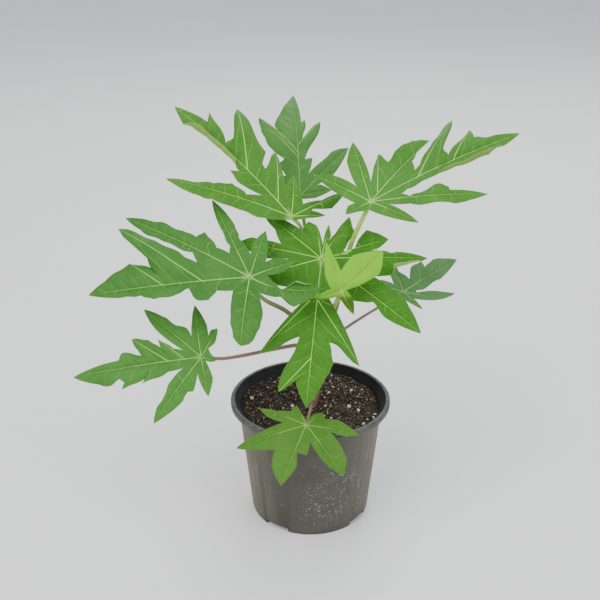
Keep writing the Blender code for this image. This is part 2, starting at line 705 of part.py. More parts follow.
def petiole_ends(petiole, leaf):
    """Where a petiole leaves the stem, where it meets its blade, and its two end directions."""
    turn = math.radians(petiole.turn)
    rise = math.radians(petiole.rise)
    start_way = Vector((math.cos(turn) * math.cos(rise), math.sin(turn) * math.cos(rise), math.sin(rise)))
    level = Vector((math.cos(turn), math.sin(turn), 0.0))
    clear = stem_radius(petiole.height) + GAP + petiole.base_radius * math.sin(rise)
    start = stem_centre(petiole.height) + level * clear
    outward = Vector(blade_axes(leaf.facing)[2])
    target = Vector(petiole.via[-1]) if petiole.via else start
    end_way = (Vector(leaf.junction) - target).normalized()
    tilt = math.sqrt(max(0.0, 1 - end_way.dot(outward) ** 2))
    below = BLADE_THICKNESS / 2 + GAP + petiole.end_radius * tilt
    end = Vector(leaf.junction) - outward * below
    return start, start_way, end, end_way


def petiole_path(petiole, leaf):
    """Points along a petiole: a cubic arc, in two stretches where it bends round a blade."""
    start, start_way, end, end_way = petiole_ends(petiole, leaf)
    stops = [start, *[Vector(point) for point in petiole.via], end]
    ways = [start_way]
    for before, after in zip(stops[:-2], stops[2:]):
        ways.append((after - before).normalized())
    ways.append(end_way)
    count = max(3, PETIOLE_POINTS // (len(stops) - 1))
    points = [start]
    for number in range(len(stops) - 1):
        length = (stops[number + 1] - stops[number]).length
        for step in range(1, count + 1):
            share = step / count
            points.append(hermite(stops[number], ways[number] * length,
                                  stops[number + 1], ways[number + 1] * length, share))
    return points


def hermite(start, start_speed, end, end_speed, share):
    """A point on the cubic arc between two places with given speeds."""
    square = share * share
    cube = square * share
    return (
        start * (2 * cube - 3 * square + 1)
        + start_speed * (cube - 2 * square + share)
        + end * (3 * square - 2 * cube)
        + end_speed * (cube - square)
    )


def add_petiole(name, petiole, leaf, collection, finish):
    """A petiole: one tapering round limb with flat ends."""
    curve = bpy.data.curves.new(name, "CURVE")
    curve.dimensions = "3D"
    curve.bevel_depth = 1.0
    curve.bevel_resolution = 2
    curve.use_fill_caps = True
    points = petiole_path(petiole, leaf)
    spline = curve.splines.new("POLY")
    spline.points.add(len(points) - 1)
    for number, point in enumerate(points):
        share = number / (len(points) - 1)
        spline.points[number].co = (*point, 1.0)
        spline.points[number].radius = petiole.base_radius + (
            petiole.end_radius - petiole.base_radius
        ) * share ** PETIOLE_TAPER
    return add_object(name, curve, collection, finish)


def clear_scene():
    """Remove whatever the scene holds."""
    for thing in list(bpy.data.objects):
        bpy.data.objects.remove(thing, do_unlink=True)


def main():
    """Build the plant and its pot."""
    clear_scene()
    plant = bpy.data.collections.new("papaya_seedling")
    cutters = bpy.data.collections.new("cutters")
    bpy.context.scene.collection.children.link(plant)
    bpy.context.scene.collection.children.link(cutters)
    add_pot(plant, cutters, material("pot_plastic", (0.035, 0.035, 0.038), 0.45))
    add_root_ball(plant, cutters, material("soil_mix", (0.022, 0.015, 0.010), 0.95))
    add_stem(plant, material("stem_bark", (0.20, 0.14, 0.07), 0.60))
    for name, leaf in LEAVES.items():
        stalk = material("petiole_" + name, PETIOLE_COLOURS[name], 0.50)
        add_petiole("petiole_" + name, PETIOLES[name], leaf, plant, stalk)
        blade = material("leaf_" + name, LEAF_COLOURS[name], 0.50)
        add_blade("leaf_" + name, leaf, plant, blade)


main()
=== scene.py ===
"""Looks of a young papaya plant in a round nursery pot.

Every blade, leaf stalk, rib and the stem is a surface worked out on a numpy grid.  The blades
follow the same rule as the solids that they stand for and carry it on to veins, quilting between
the veins and curled margins.  Lengths are in metres, +Z is up and the plant's front faces -Y.
"""
import logging
import math
from dataclasses import dataclass, field
from enum import Enum
from typing import Any, Optional, Sequence, Union

import bmesh
import bpy
import numpy as np
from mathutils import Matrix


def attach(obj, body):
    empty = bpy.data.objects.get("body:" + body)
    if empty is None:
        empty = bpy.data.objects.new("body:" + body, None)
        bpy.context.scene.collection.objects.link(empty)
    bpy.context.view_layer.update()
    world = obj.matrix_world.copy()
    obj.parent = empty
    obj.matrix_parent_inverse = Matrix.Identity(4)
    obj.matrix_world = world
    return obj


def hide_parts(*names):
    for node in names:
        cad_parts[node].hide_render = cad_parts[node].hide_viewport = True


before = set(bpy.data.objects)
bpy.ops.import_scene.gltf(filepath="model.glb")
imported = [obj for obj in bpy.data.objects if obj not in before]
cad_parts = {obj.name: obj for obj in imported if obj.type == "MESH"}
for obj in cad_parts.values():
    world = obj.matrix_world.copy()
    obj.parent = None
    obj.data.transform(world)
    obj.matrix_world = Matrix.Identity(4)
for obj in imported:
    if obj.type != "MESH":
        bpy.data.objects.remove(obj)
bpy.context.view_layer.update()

LOG = logging.getLogger("papaya_seedling")

MM_PER_METRE = 1000.0
WELD = 1e-6
SAME_FOOT = 1e-6
GOLDEN_TURN = math.radians(137.5)
BRANCH_SPLAY = math.radians(38)
FIRST_BRANCH = 0.12

# The solids' own sizes, which the fine surfaces repeat.
POT_BASE_RADIUS = 0.0522
POT_SLOPE = 0.1043
SOIL_LEVEL = 0.1005
SOIL_GAP = 0.0003
SOIL_RADIUS = 0.0610
STEM_FOOT_X = 0.0005
STEM_HEIGHT = 0.0885
STEM_LEAN = 0.0085
STEM_LEAN_LENGTH = 0.022
STEM_RADIUS = 0.0037
STEM_TAPER = 0.0007
FLARE = 0.0012
FLARE_LENGTH = 0.004
TIP_LENGTH = 0.006
TIP_RADIUS = 0.0010
VEIN_SPLAY = math.radians(48)
FIRST_FOOT = 0.06
LAST_FOOT = 0.45
FOOT_STEP = 0.030
TOOTH_CURL = 0.03
EDGE_BULGE = 0.03
END_BULGE = 0.035

Colour = tuple[float, float, float]
Number = Union[float, "Value"]


class Side(Enum):
    """The two halves of a lobe, seen from the blade's upper face with the tip away."""

    RIGHT = "right"
    LEFT = "left"


# ------------------------------------------------------------------ plans of leaves and stalks


@dataclass(frozen=True)
class Lobe:
    """One finger of a leaf.

    turn is its bearing in the blade in degrees, anticlockwise from the blade's own right, and
    reach its length from the leaf's junction.  cleft is the bearing and the distance of the gap
    between it and the next lobe anticlockwise.  right and left are the margins on its clockwise
    and anticlockwise side: tooth, notch, tooth and so on, each as fractions of the reach along
    the midrib and out from it.  lift and droop bend it out of the blade's plane, and sweep
    bends it sideways, in degrees.
    """

    turn: float
    reach: float
    cleft: tuple[float, float]
    right: tuple[tuple[float, float], ...] = ()
    left: tuple[tuple[float, float], ...] = ()
    lift: float = 8.0
    droop: float = 24.0
    sweep: float = 0.0

    def margin(self, side: Side) -> tuple[tuple[float, float], ...]:
        """The corner points of one margin."""
        return self.left if side is Side.LEFT else self.right

    def axis(self) -> np.ndarray:
        """The midrib's unit direction in the blade's plane."""
        return direction(math.radians(self.turn))

    def across(self, side: Side) -> np.ndarray:
        """The unit direction from the midrib towards one margin."""
        quarter = math.pi / 2 if side is Side.LEFT else -math.pi / 2
        return direction(math.radians(self.turn) + quarter)


@dataclass(frozen=True)
class Leaf:
    """A blade: where its veins meet, the azimuth and elevation it faces, and its lobes."""

    junction: tuple[float, float, float]
    facing: tuple[float, float]
    lobes: tuple[Lobe, ...]


@dataclass(frozen=True)
class Petiole:
    """A leaf stalk: its height on the stem, its bearing and rise there, and its radii."""

    height: float
    turn: float
    rise: float
    base_radius: float
    end_radius: float
    via: tuple[tuple[float, float, float], ...] = ()


@dataclass(frozen=True)
class Curl:
    """A margin that rolls up over the blade: which lobe and side, how far and along where.

    start is the share of the way from midrib to margin at which the roll begins, angle its turn
    in degrees, low and high the stretch of the midrib it spans, and widen the share by which
    the rolled strip is longer than the flat one.
    """

    lobe: int
    side: Side
    start: float
    angle: float
    low: float
    high: float
    widen: float = 0.0


LEAF_UPPER_LEFT = Leaf(
    junction=(-0.016, -0.012, 0.282),
    facing=(-68, 42),
    lobes=(
        Lobe(355, 0.030, cleft=(11, 0.019), right=((0.45, 0.08),), left=((0.6, 0.12),)),
        Lobe(17, 0.056, cleft=(36, 0.015), right=((0.63, 0.14),), left=((0.55, 0.02),)),
        Lobe(71, 0.038, cleft=(88, 0.026), right=((0.67, 0.12),), left=((0.73, 0.15),)),
        Lobe(122, 0.133, cleft=(135, 0.028),
             right=((0.37, 0.26), (0.32, 0.09), (0.37, 0.1), (0.4, 0.18), (0.73, 0.27),
                    (0.59, 0.09), (0.6, 0.03), (0.82, 0.12), (0.77, 0.06)),
             left=((0.35, 0.1), (0.45, 0.09), (0.39, 0.04), (0.57, 0.06), (0.72, 0.05), (0.8, 0.08))),
        Lobe(152, 0.105, cleft=(263, 0.003),
             right=((0.38, 0.04), (0.51, 0.09), (0.64, 0.05), (0.8, 0.02)),
             left=((0.22, 0.1), (0.4, 0.1), (0.62, 0.08), (0.77, 0.08))),
    ),
)

LEAF_UPPER_BACK = Leaf(
    junction=(-0.009, 0.042, 0.281),
    facing=(-80, 50),
    lobes=(
        Lobe(10, 0.029, cleft=(33, 0.013), right=((0.43, 0.19),), left=((0.68, 0.2),)),
        Lobe(44, 0.071, cleft=(64, 0.023),
             right=((0.48, 0.12),), left=((0.56, 0.1), (0.59, 0.1), (0.82, 0.09))),
        Lobe(85, 0.111, cleft=(116, 0.022),
             right=((0.33, 0.11), (0.32, 0.05), (0.69, 0.19), (0.49, 0.04), (0.71, 0.07), (0.66, 0.04)),
             left=((0.28, 0.15), (0.32, 0.11), (0.42, 0.2), (0.59, 0.27), (0.74, 0.28),
                   (0.62, 0.23), (0.52, 0.13), (0.58, 0.14), (0.65, 0.17))),
        Lobe(136, 0.037, cleft=(156, 0.013), right=((0.73, 0.09),), left=((0.6, 0.16),)),
        Lobe(182, 0.028, cleft=(260, 0.003), right=((0.6, 0.16),), left=((0.65, 0.15),)),
    ),
)

LEAF_UPPER_RIGHT = Leaf(
    junction=(0.046, -0.028, 0.300),
    facing=(-105, 42),
    lobes=(
        Lobe(342, 0.042, cleft=(355, 0.014), right=((0.44, 0.15),), left=((0.66, 0.07),)),
        Lobe(11, 0.091, cleft=(19, 0.025),
             right=((0.34, 0.06), (0.64, 0.07), (0.74, 0.08)),
             left=((0.34, 0.01), (0.46, 0.04), (0.59, 0.1), (0.67, 0.07), (0.68, 0.04))),
        Lobe(34, 0.130, cleft=(42, 0.042),
             right=((0.23, 0.04), (0.36, 0.04), (0.56, 0.07), (0.77, 0.09), (0.82, 0.05)),
             left=((0.37, 0.07), (0.51, 0.19), (0.69, 0.29), (0.53, 0.09),
                   (0.54, 0.04), (0.74, 0.15), (0.73, 0.08), (0.82, 0.05))),
        Lobe(57, 0.070, cleft=(98, 0.016),
             right=((0.66, 0.04), (0.83, -0.02)),
             left=((0.49, 0.32), (0.48, 0.16), (0.68, 0.18), (0.86, 0.14))),
        Lobe(114, 0.057, cleft=(139, 0.017), right=((0.43, 0.09),), left=((0.69, 0.16),)),
        Lobe(158, 0.054, cleft=(192, 0.012), right=((0.7, 0.11),), left=((0.49, 0.12),)),
        Lobe(213, 0.022, cleft=(268, 0.007), right=((0.8, 0.21),), left=((0.6, 0.14),)),
    ),
)

LEAF_MID_LEFT = Leaf(
    junction=(-0.048, -0.058, 0.249),
    facing=(-100, 46),
    lobes=(
        Lobe(356, 0.058, cleft=(15, 0.013), sweep=26,
             right=((0.4, 0.16), (0.52, 0.13), (0.7, 0.27)),
             left=((0.35, 0.04), (0.49, -0.01), (0.67, 0.11))),
        Lobe(26, 0.037, cleft=(50, 0.017), right=((0.72, 0.13),), left=((0.65, 0.2),)),
        Lobe(81, 0.042, cleft=(95, 0.019), right=((0.6, 0.17),), left=((0.7, 0.13),)),
        Lobe(122, 0.080, cleft=(136, 0.026),
             right=((0.42, 0.07), (0.57, 0.09)), left=((0.38, 0.04), (0.6, 0.05))),
        Lobe(157, 0.123, cleft=(170, 0.043),
             right=((0.29, 0.07), (0.42, 0.13), (0.45, 0.07), (0.55, 0.07), (0.77, 0.05)),
             left=((0.41, 0.03), (0.63, 0.05), (0.83, 0.04))),
        Lobe(190, 0.131, cleft=(229, 0.017), lift=3, droop=12,
             right=((0.39, 0.16), (0.57, 0.29), (0.81, 0.41), (0.63, 0.21), (0.59, 0.11), (0.73, 0.16)),
             left=((0.2, 0.07), (0.25, 0.13), (0.32, 0.12), (0.37, 0.04),
                   (0.44, 0.07), (0.58, 0.09), (0.66, 0.05), (0.78, 0.05))),
        Lobe(270, 0.056, cleft=(314, 0.015),
             right=((0.63, 0.17), (0.89, 0.11)), left=((0.46, 0.28), (0.74, 0.26), (0.97, 0.12))),
    ),
)

LEAF_LOW_LEFT = Leaf(
    junction=(-0.089, -0.052, 0.176),
    facing=(-98, 38),
    lobes=(
        Lobe(350, 0.013, cleft=(54, 0.009), right=((0.64, 0.17),), left=((0.56, 0.33),)),
        Lobe(66, 0.027, cleft=(77, 0.018), right=((0.57, 0.16),), left=((0.86, 0.16),)),
        Lobe(104, 0.045, cleft=(120, 0.019), right=((0.57, 0.18),), left=((0.67, 0.08),)),
        Lobe(145, 0.066, cleft=(164, 0.016),
             right=((0.37, 0.16), (0.51, 0.1), (0.72, 0.08)), left=((0.67, 0.1),)),
        Lobe(192, 0.110, cleft=(217, 0.017),
             right=((0.2, 0.09), (0.31, 0.18), (0.28, 0.09), (0.38, 0.18),
                    (0.5, 0.2), (0.44, 0.07), (0.58, 0.11), (0.62, 0.06)),
             left=((0.25, 0.08), (0.45, 0.14), (0.41, 0.09), (0.61, 0.16),
                   (0.58, 0.11), (0.62, 0.08), (0.7, 0.12), (0.83, 0.08))),
        Lobe(239, 0.066, cleft=(265, 0.014),
             right=((0.45, 0.12), (0.65, 0.08), (0.87, 0.06)),
             left=((0.39, 0.18), (0.44, 0.13), (0.61, 0.14))),
        Lobe(286, 0.033, cleft=(325, 0.005), right=((0.69, 0.11),), left=((0.58, 0.2),)),
    ),
)

LEAF_FRONT = Leaf(
    junction=(0.008, -0.030, 0.253),
    facing=(-90, 34),
    lobes=(
        Lobe(1, 0.086, cleft=(11, 0.025),
             right=((0.57, 0.18), (0.73, 0.13), (0.82, 0.08)),
             left=((0.58, 0.06), (0.65, 0.04), (0.73, 0.05))),
        Lobe(17, 0.057, cleft=(8, 0.021),
             right=((0.8, 0.1),), left=((0.48, -0.02), (0.57, 0.1), (0.73, 0.21))),
        Lobe(57, 0.042, cleft=(69, 0.013),
             right=((0.36, 0.27), (0.58, 0.26), (0.75, 0.27), (0.86, 0.14)), left=((0.54, 0.04),)),
        Lobe(78, 0.029, cleft=(83, 0.01), right=((0.67, 0.13),), left=((0.58, 0.05),)),
        Lobe(98, 0.028, cleft=(123, 0.028), right=((0.62, 0.08),), left=((1.15, 0.21),)),
        Lobe(138, 0.069, cleft=(160, 0.034), lift=-6, right=((0.54, 0.1),), left=((0.66, 0.09),)),
        Lobe(168, 0.069, cleft=(180, 0.023),
             right=((0.64, 0.08), (0.72, 0.06), (0.85, 0.08)), left=((0.67, 0.14),)),
        Lobe(196, 0.081, cleft=(260, 0.026), right=((0.59, 0.08),), left=((0.58, 0.1),)),
        Lobe(264, 0.120, cleft=(278, 0.03),
             right=((0.67, 0.34), (0.54, 0.09), (0.91, 0.19), (0.82, 0.09)),
             left=((0.69, 0.32), (0.57, 0.16), (0.55, 0.1), (0.69, 0.15), (0.78, 0.11))),
        Lobe(323, 0.100, cleft=(340, 0.043),
             right=((0.49, 0.08), (0.54, 0.04), (0.7, 0.08)), left=((0.73, 0.13),)),
    ),
)

LEAF_YOUNG = Leaf(
    junction=(0.023, -0.066, 0.240),
    facing=(-80, 18),
    lobes=(
        Lobe(40, 0.046, cleft=(90, 0.016), right=((0.67, 0.23),), left=((0.54, 0.32),)),
        Lobe(104, 0.040, cleft=(162, 0.009), right=((0.71, 0.04),), left=((0.41, 0.22),)),
        Lobe(189, 0.029, cleft=(218, 0.006), right=((0.7, 0.04),), left=((0.67, 0.07),)),
        Lobe(295, 0.021, cleft=(14, 0.004), right=((0.2, 0.18),), left=((0.48, 0.23),)),
    ),
)

LEAF_MID_RIGHT = Leaf(
    junction=(0.080, 0.022, 0.201),
    facing=(-70, 44),
    lobes=(
        Lobe(351, 0.050, cleft=(358, 0.012), sweep=18,
             right=((0.45, 0.11),), left=((0.58, 0.08),)),
        Lobe(21, 0.066, cleft=(47, 0.013),
             right=((0.17, 0.05), (0.56, 0.1)),
             left=((0.29, 0.22), (0.48, 0.22), (0.46, 0.12), (0.64, 0.16))),
        Lobe(93, 0.029, cleft=(131, 0.01), right=((0.63, 0.07),), left=((0.66, 0.25),)),
        Lobe(157, 0.032, cleft=(170, 0.01), right=((0.63, 0.18),), left=((0.6, 0.11),)),
        Lobe(193, 0.020, cleft=(240, 0.006), right=((0.57, 0.15),), left=((0.61, 0.23),)),
        Lobe(307, 0.023, cleft=(313, 0.011), right=((0.47, 0.19),), left=((0.7, 0.04),)),
    ),
)

LEAF_LOWEST = Leaf(
    junction=(-0.004, -0.0632, 0.119),
    facing=(-92, 48),
    lobes=(
        Lobe(351, 0.044, cleft=(19, 0.016), right=((0.74, 0.09),), left=((0.58, 0.19),)),
        Lobe(41, 0.017, cleft=(79, 0.003), right=((0.96, 0.28),), left=((0.63, 0.16),)),
        Lobe(117, 0.019, cleft=(140, 0.017), right=((0.52, 0.05),), left=((0.96, 0.19),)),
        Lobe(160, 0.042, cleft=(176, 0.019), right=((0.66, 0.05),), left=((0.77, 0.12),)),
        Lobe(199, 0.061, cleft=(221, 0.033), right=((0.6, 0.09),), left=((0.67, 0.15),)),
        Lobe(249, 0.054, cleft=(284, 0.015),
             right=((0.79, 0.24),), left=((0.43, 0.19), (0.46, 0.04), (0.67, 0.11))),
        Lobe(307, 0.052, cleft=(344, 0.021), right=((0.66, 0.13),), left=((0.8, 0.2),)),
    ),
)

PETIOLES = {
    "upper_left": Petiole(0.0775, 175, 62, 0.0019, 0.0014,
                          via=((-0.0058, -0.0060, 0.2612), (-0.0095, -0.0105, 0.2741))),
    "upper_back": Petiole(0.0735, 100, 62, 0.0019, 0.0014),
    "upper_right": Petiole(0.0755, -30, 62, 0.0022, 0.0018, via=((0.0314, -0.0252, 0.2626),)),
    "mid_left": Petiole(0.0685, 216, 44, 0.0022, 0.0017,
                        via=((-0.0195, -0.0255, 0.2038), (-0.0405, -0.0500, 0.2290))),
    "low_left": Petiole(0.0615, 206, 14, 0.0019, 0.0014, via=((-0.0705, -0.0430, 0.1701),)),
    "front": Petiole(0.0715, 262, 50, 0.0022, 0.0017),
    "young": Petiole(0.0785, 283, 40, 0.0020, 0.0016),
    "mid_right": Petiole(0.0595, 12, 44, 0.0015, 0.0011),
    "lowest": Petiole(0.006, 265, 20, 0.0016, 0.0012),
}

LEAVES = {
    "upper_left": LEAF_UPPER_LEFT,
    "upper_back": LEAF_UPPER_BACK,
    "upper_right": LEAF_UPPER_RIGHT,
    "mid_left": LEAF_MID_LEFT,
    "low_left": LEAF_LOW_LEFT,
    "front": LEAF_FRONT,
    "young": LEAF_YOUNG,
    "mid_right": LEAF_MID_RIGHT,
    "lowest": LEAF_LOWEST,
}


# ------------------------------------------------------------------ shapes as whole arrays


def smoothstep(low: float, high: float, values: np.ndarray) -> np.ndarray:
    """Ease values from 0 at low to 1 at high: 3t squared minus 2t cubed.

    Args:
        low: where the result leaves 0.
        high: where it reaches 1.
        values: the values to ease.

    Returns:
        The eased values, of the same shape.
    """
    share = np.clip((values - low) / (high - low), 0.0, 1.0)
    return share * share * (3.0 - 2.0 * share)


def unit(vectors: np.ndarray) -> np.ndarray:
    """Vectors of the same direction and of length 1."""
    return vectors / np.maximum(np.linalg.norm(vectors, axis=-1, keepdims=True), 1e-12)


def direction(turn: Union[float, np.ndarray]) -> np.ndarray:
    """Unit vectors in the blade's plane at bearings in radians."""
    return np.stack([np.cos(turn), np.sin(turn)], axis=-1)


def lattice(cells: np.ndarray, seed: int) -> np.ndarray:
    """A fixed random value from -1 to 1 for each whole-number place: the fraction of a large sine.

    Args:
        cells: whole-number places, with the coordinates on the last axis.
        seed: picks the set of values.

    Returns:
        One value for each place.
    """
    strides = np.array([127.1, 311.7, 74.7])[: cells.shape[-1]]
    spread = np.sin(cells @ strides + 17.3 * seed) * 43758.5453
    return 2.0 * (spread - np.floor(spread)) - 1.0


def noise(places: np.ndarray, seed: int = 0, octaves: int = 1) -> np.ndarray:
    """Smooth noise: lattice values eased between whole-number places, with finer octaves added.

    Args:
        places: where to read it, one unit to a bump, coordinates on the last axis.
        seed: picks the pattern.
        octaves: how many times a copy of half the size and half the height is added.

    Returns:
        Values of about -1 to 1.
    """
    total = np.zeros(places.shape[:-1])
    for octave in range(octaves):
        scaled = places * 2.0**octave + 9.7 * octave
        cell = np.floor(scaled)
        share = scaled - cell
        share = share * share * (3.0 - 2.0 * share)
        for corner in np.ndindex(*(2,) * places.shape[-1]):
            weight = np.prod(np.where(np.array(corner) == 1, share, 1.0 - share), axis=-1)
            total += weight * lattice(cell + np.array(corner), seed + octave) / 2.0**octave
    return total


@dataclass
class Surface:
    """A surface gathered from grids and welded wherever their points meet."""

    points: list[np.ndarray] = field(default_factory=list)
    faces: list[np.ndarray] = field(default_factory=list)
    maps: dict[str, list[np.ndarray]] = field(default_factory=dict)
    count: int = 0

    def add_grid(self, points: np.ndarray, flip: bool = False, **maps: np.ndarray) -> None:
        """Add a grid of points, two triangles to a cell.

        Args:
            points: rows by columns by 3.
            flip: turns the faces over.
            maps: a pair of numbers for each point, kept as a UV map of that name.
        """
        rows, columns = points.shape[:2]
        index = np.arange(rows * columns).reshape(rows, columns)
        one, two = index[:-1, :-1].ravel(), index[:-1, 1:].ravel()
        three, four = index[1:, 1:].ravel(), index[1:, :-1].ravel()
        faces = np.concatenate([np.stack([one, two, three], 1), np.stack([one, three, four], 1)])
        flat = {name: values.reshape(-1, 2) for name, values in maps.items()}
        self.add_faces(points.reshape(-1, 3), faces[:, ::-1] if flip else faces, **flat)

    def add_faces(self, points: np.ndarray, faces: np.ndarray, **maps: np.ndarray) -> None:
        """Add points and the triangles between them.

        Args:
            points: count by 3.
            faces: three point numbers to a triangle.
            maps: a pair of numbers for each point, kept as a UV map of that name.
        """
        self.points.append(points)
        self.faces.append(faces + self.count)
        self.count += len(points)
        for name, values in maps.items():
            self.maps.setdefault(name, []).append(values)

    def build(self, name: str, materials: Sequence[bpy.types.Material]) -> bpy.types.Object:
        """Weld the grids and put them into a new object.

        Args:
            name: the piece's name.
            materials: its material slots in order.

        Returns:
            The object, linked to the scene, at the origin.
        """
        points = np.concatenate(self.points)
        faces = np.concatenate(self.faces)
        key = np.round(points / WELD).astype(np.int64)
        _, first, welded = np.unique(key, axis=0, return_index=True, return_inverse=True)
        corners = welded.reshape(-1)[faces]
        whole = (
            (corners[:, 0] != corners[:, 1])
            & (corners[:, 1] != corners[:, 2])
            & (corners[:, 2] != corners[:, 0])
        )
        mesh = bpy.data.meshes.new(name)
        mesh.from_pydata(points[first], [], corners[whole])
        for map_name, values in self.maps.items():
            layer = mesh.uv_layers.new(name=map_name)
            spread = np.concatenate(values)[faces[whole]].astype(np.float32)
            layer.uv.foreach_set("vector", spread.ravel())
        mesh.shade_smooth()
        for material in materials:
            mesh.materials.append(material)
        thing = bpy.data.objects.new(name, mesh)
        bpy.context.scene.collection.objects.link(thing)
        return thing


def tube(
    surface: Surface,
    path: np.ndarray,
    radius: np.ndarray,
    sides: int,
    relief: Optional[np.ndarray] = None,
) -> None:
    """Carry a circle along a path, with both ends rounded over and closed at a pole.

    Each ring stands square to the path, on two directions taken from the path's tangent and one
    fixed level direction.  The circle's radius is the path's radius times one plus the relief.

    Args:
        surface: where the grid goes, with a map "along" of share along and share round.
        path: points of the centre line, count by 3.
        radius: one radius for each point.
        sides: how many sides a ring has.
        relief: rings by sides + 1, added to the radius as a share of it.
    """
    tangent = unit(np.gradient(path, axis=0))
    chord = unit(path[-1] - path[0])
    level = unit(np.cross(chord, (0.0, 0.0, 1.0)) + np.array([1e-4, 0.0, 0.0]))
    first = unit(np.cross(tangent, level))
    second = np.cross(tangent, first)
    turn = np.linspace(0.0, math.tau, sides + 1)
    turn[-1] = 0.0
    ring = np.cos(turn)[:, None] * first[:, None] + np.sin(turn)[:, None] * second[:, None]
    swell = 1.0 if relief is None else 1.0 + relief[..., None]
    body = path[:, None] + ring * radius[:, None, None] * swell
    caps = []
    for end, way in ((0, -1.0), (-1, 1.0)):
        lean = np.radians([30.0, 60.0, 90.0])[:, None, None]
        rim = body[end] - path[end]
        out = way * radius[end] * tangent[end]
        caps.append(path[end] + np.cos(lean) * rim + np.sin(lean) * out * 0.6)
    grid = np.concatenate([caps[0][::-1], body, caps[1]])
    share = np.linspace(0.0, 1.0, len(path))
    share = np.concatenate([np.zeros(3), share, np.ones(3)])
    around = np.linspace(0.0, 1.0, sides + 1)
    along = np.stack(np.broadcast_arrays(share[:, None], around[None, :]), axis=-1)
    surface.add_grid(grid, along=along)


# ------------------------------------------------------------------ shader values


class Value:
    """A shader number as a Python value: each operator on it adds a Math node."""

    def __init__(self, shader: "Shader", socket: bpy.types.NodeSocket) -> None:
        """Wrap one output socket of a shader's node tree."""
        self.shader = shader
        self.socket = socket

    def _math(self, operation: str, *operands: Number) -> "Value":
        """Add a Math node over numbers and values."""
        inputs = dict(enumerate(operands))
        return self.shader.value("ShaderNodeMath", {"operation": operation}, inputs)

    def __add__(self, other: Number) -> "Value":
        """Sum."""
        return self._math("ADD", self, other)

    __radd__ = __add__

    def __sub__(self, other: Number) -> "Value":
        """Difference."""
        return self._math("SUBTRACT", self, other)

    def __rsub__(self, other: Number) -> "Value":
        """Difference from a number."""
        return self._math("SUBTRACT", other, self)

    def __mul__(self, other: Number) -> "Value":
        """Product."""
        return self._math("MULTIPLY", self, other)

    __rmul__ = __mul__

    def __truediv__(self, other: Number) -> "Value":
        """Quotient."""
        return self._math("DIVIDE", self, other)

    def __rtruediv__(self, other: Number) -> "Value":
        """Quotient of a number."""
        return self._math("DIVIDE", other, self)

    def __pow__(self, other: Number) -> "Value":
        """Power."""
        return self._math("POWER", self, other)

    def __abs__(self) -> "Value":
        """Size without its sign."""
        return self._math("ABSOLUTE", self)

    def fraction(self) -> "Value":
        """What is left above the whole number."""
        return self._math("FRACT", self)

    def at_most(self, other: Number) -> "Value":
        """The smaller of two."""
        return self._math("MINIMUM", self, other)

    def at_least(self, other: Number) -> "Value":
        """The larger of two."""
        return self._math("MAXIMUM", self, other)

    def rise(self, low: Number, high: Number) -> "Value":
        """Ease from 0 at low to 1 at high, or from 1 to 0 where low is above high."""
        return self.shader.value(
            "ShaderNodeMapRange",
            {"interpolation_type": "SMOOTHSTEP", "clamp": True},
            {"Value": self, "From Min": low, "From Max": high},
        )


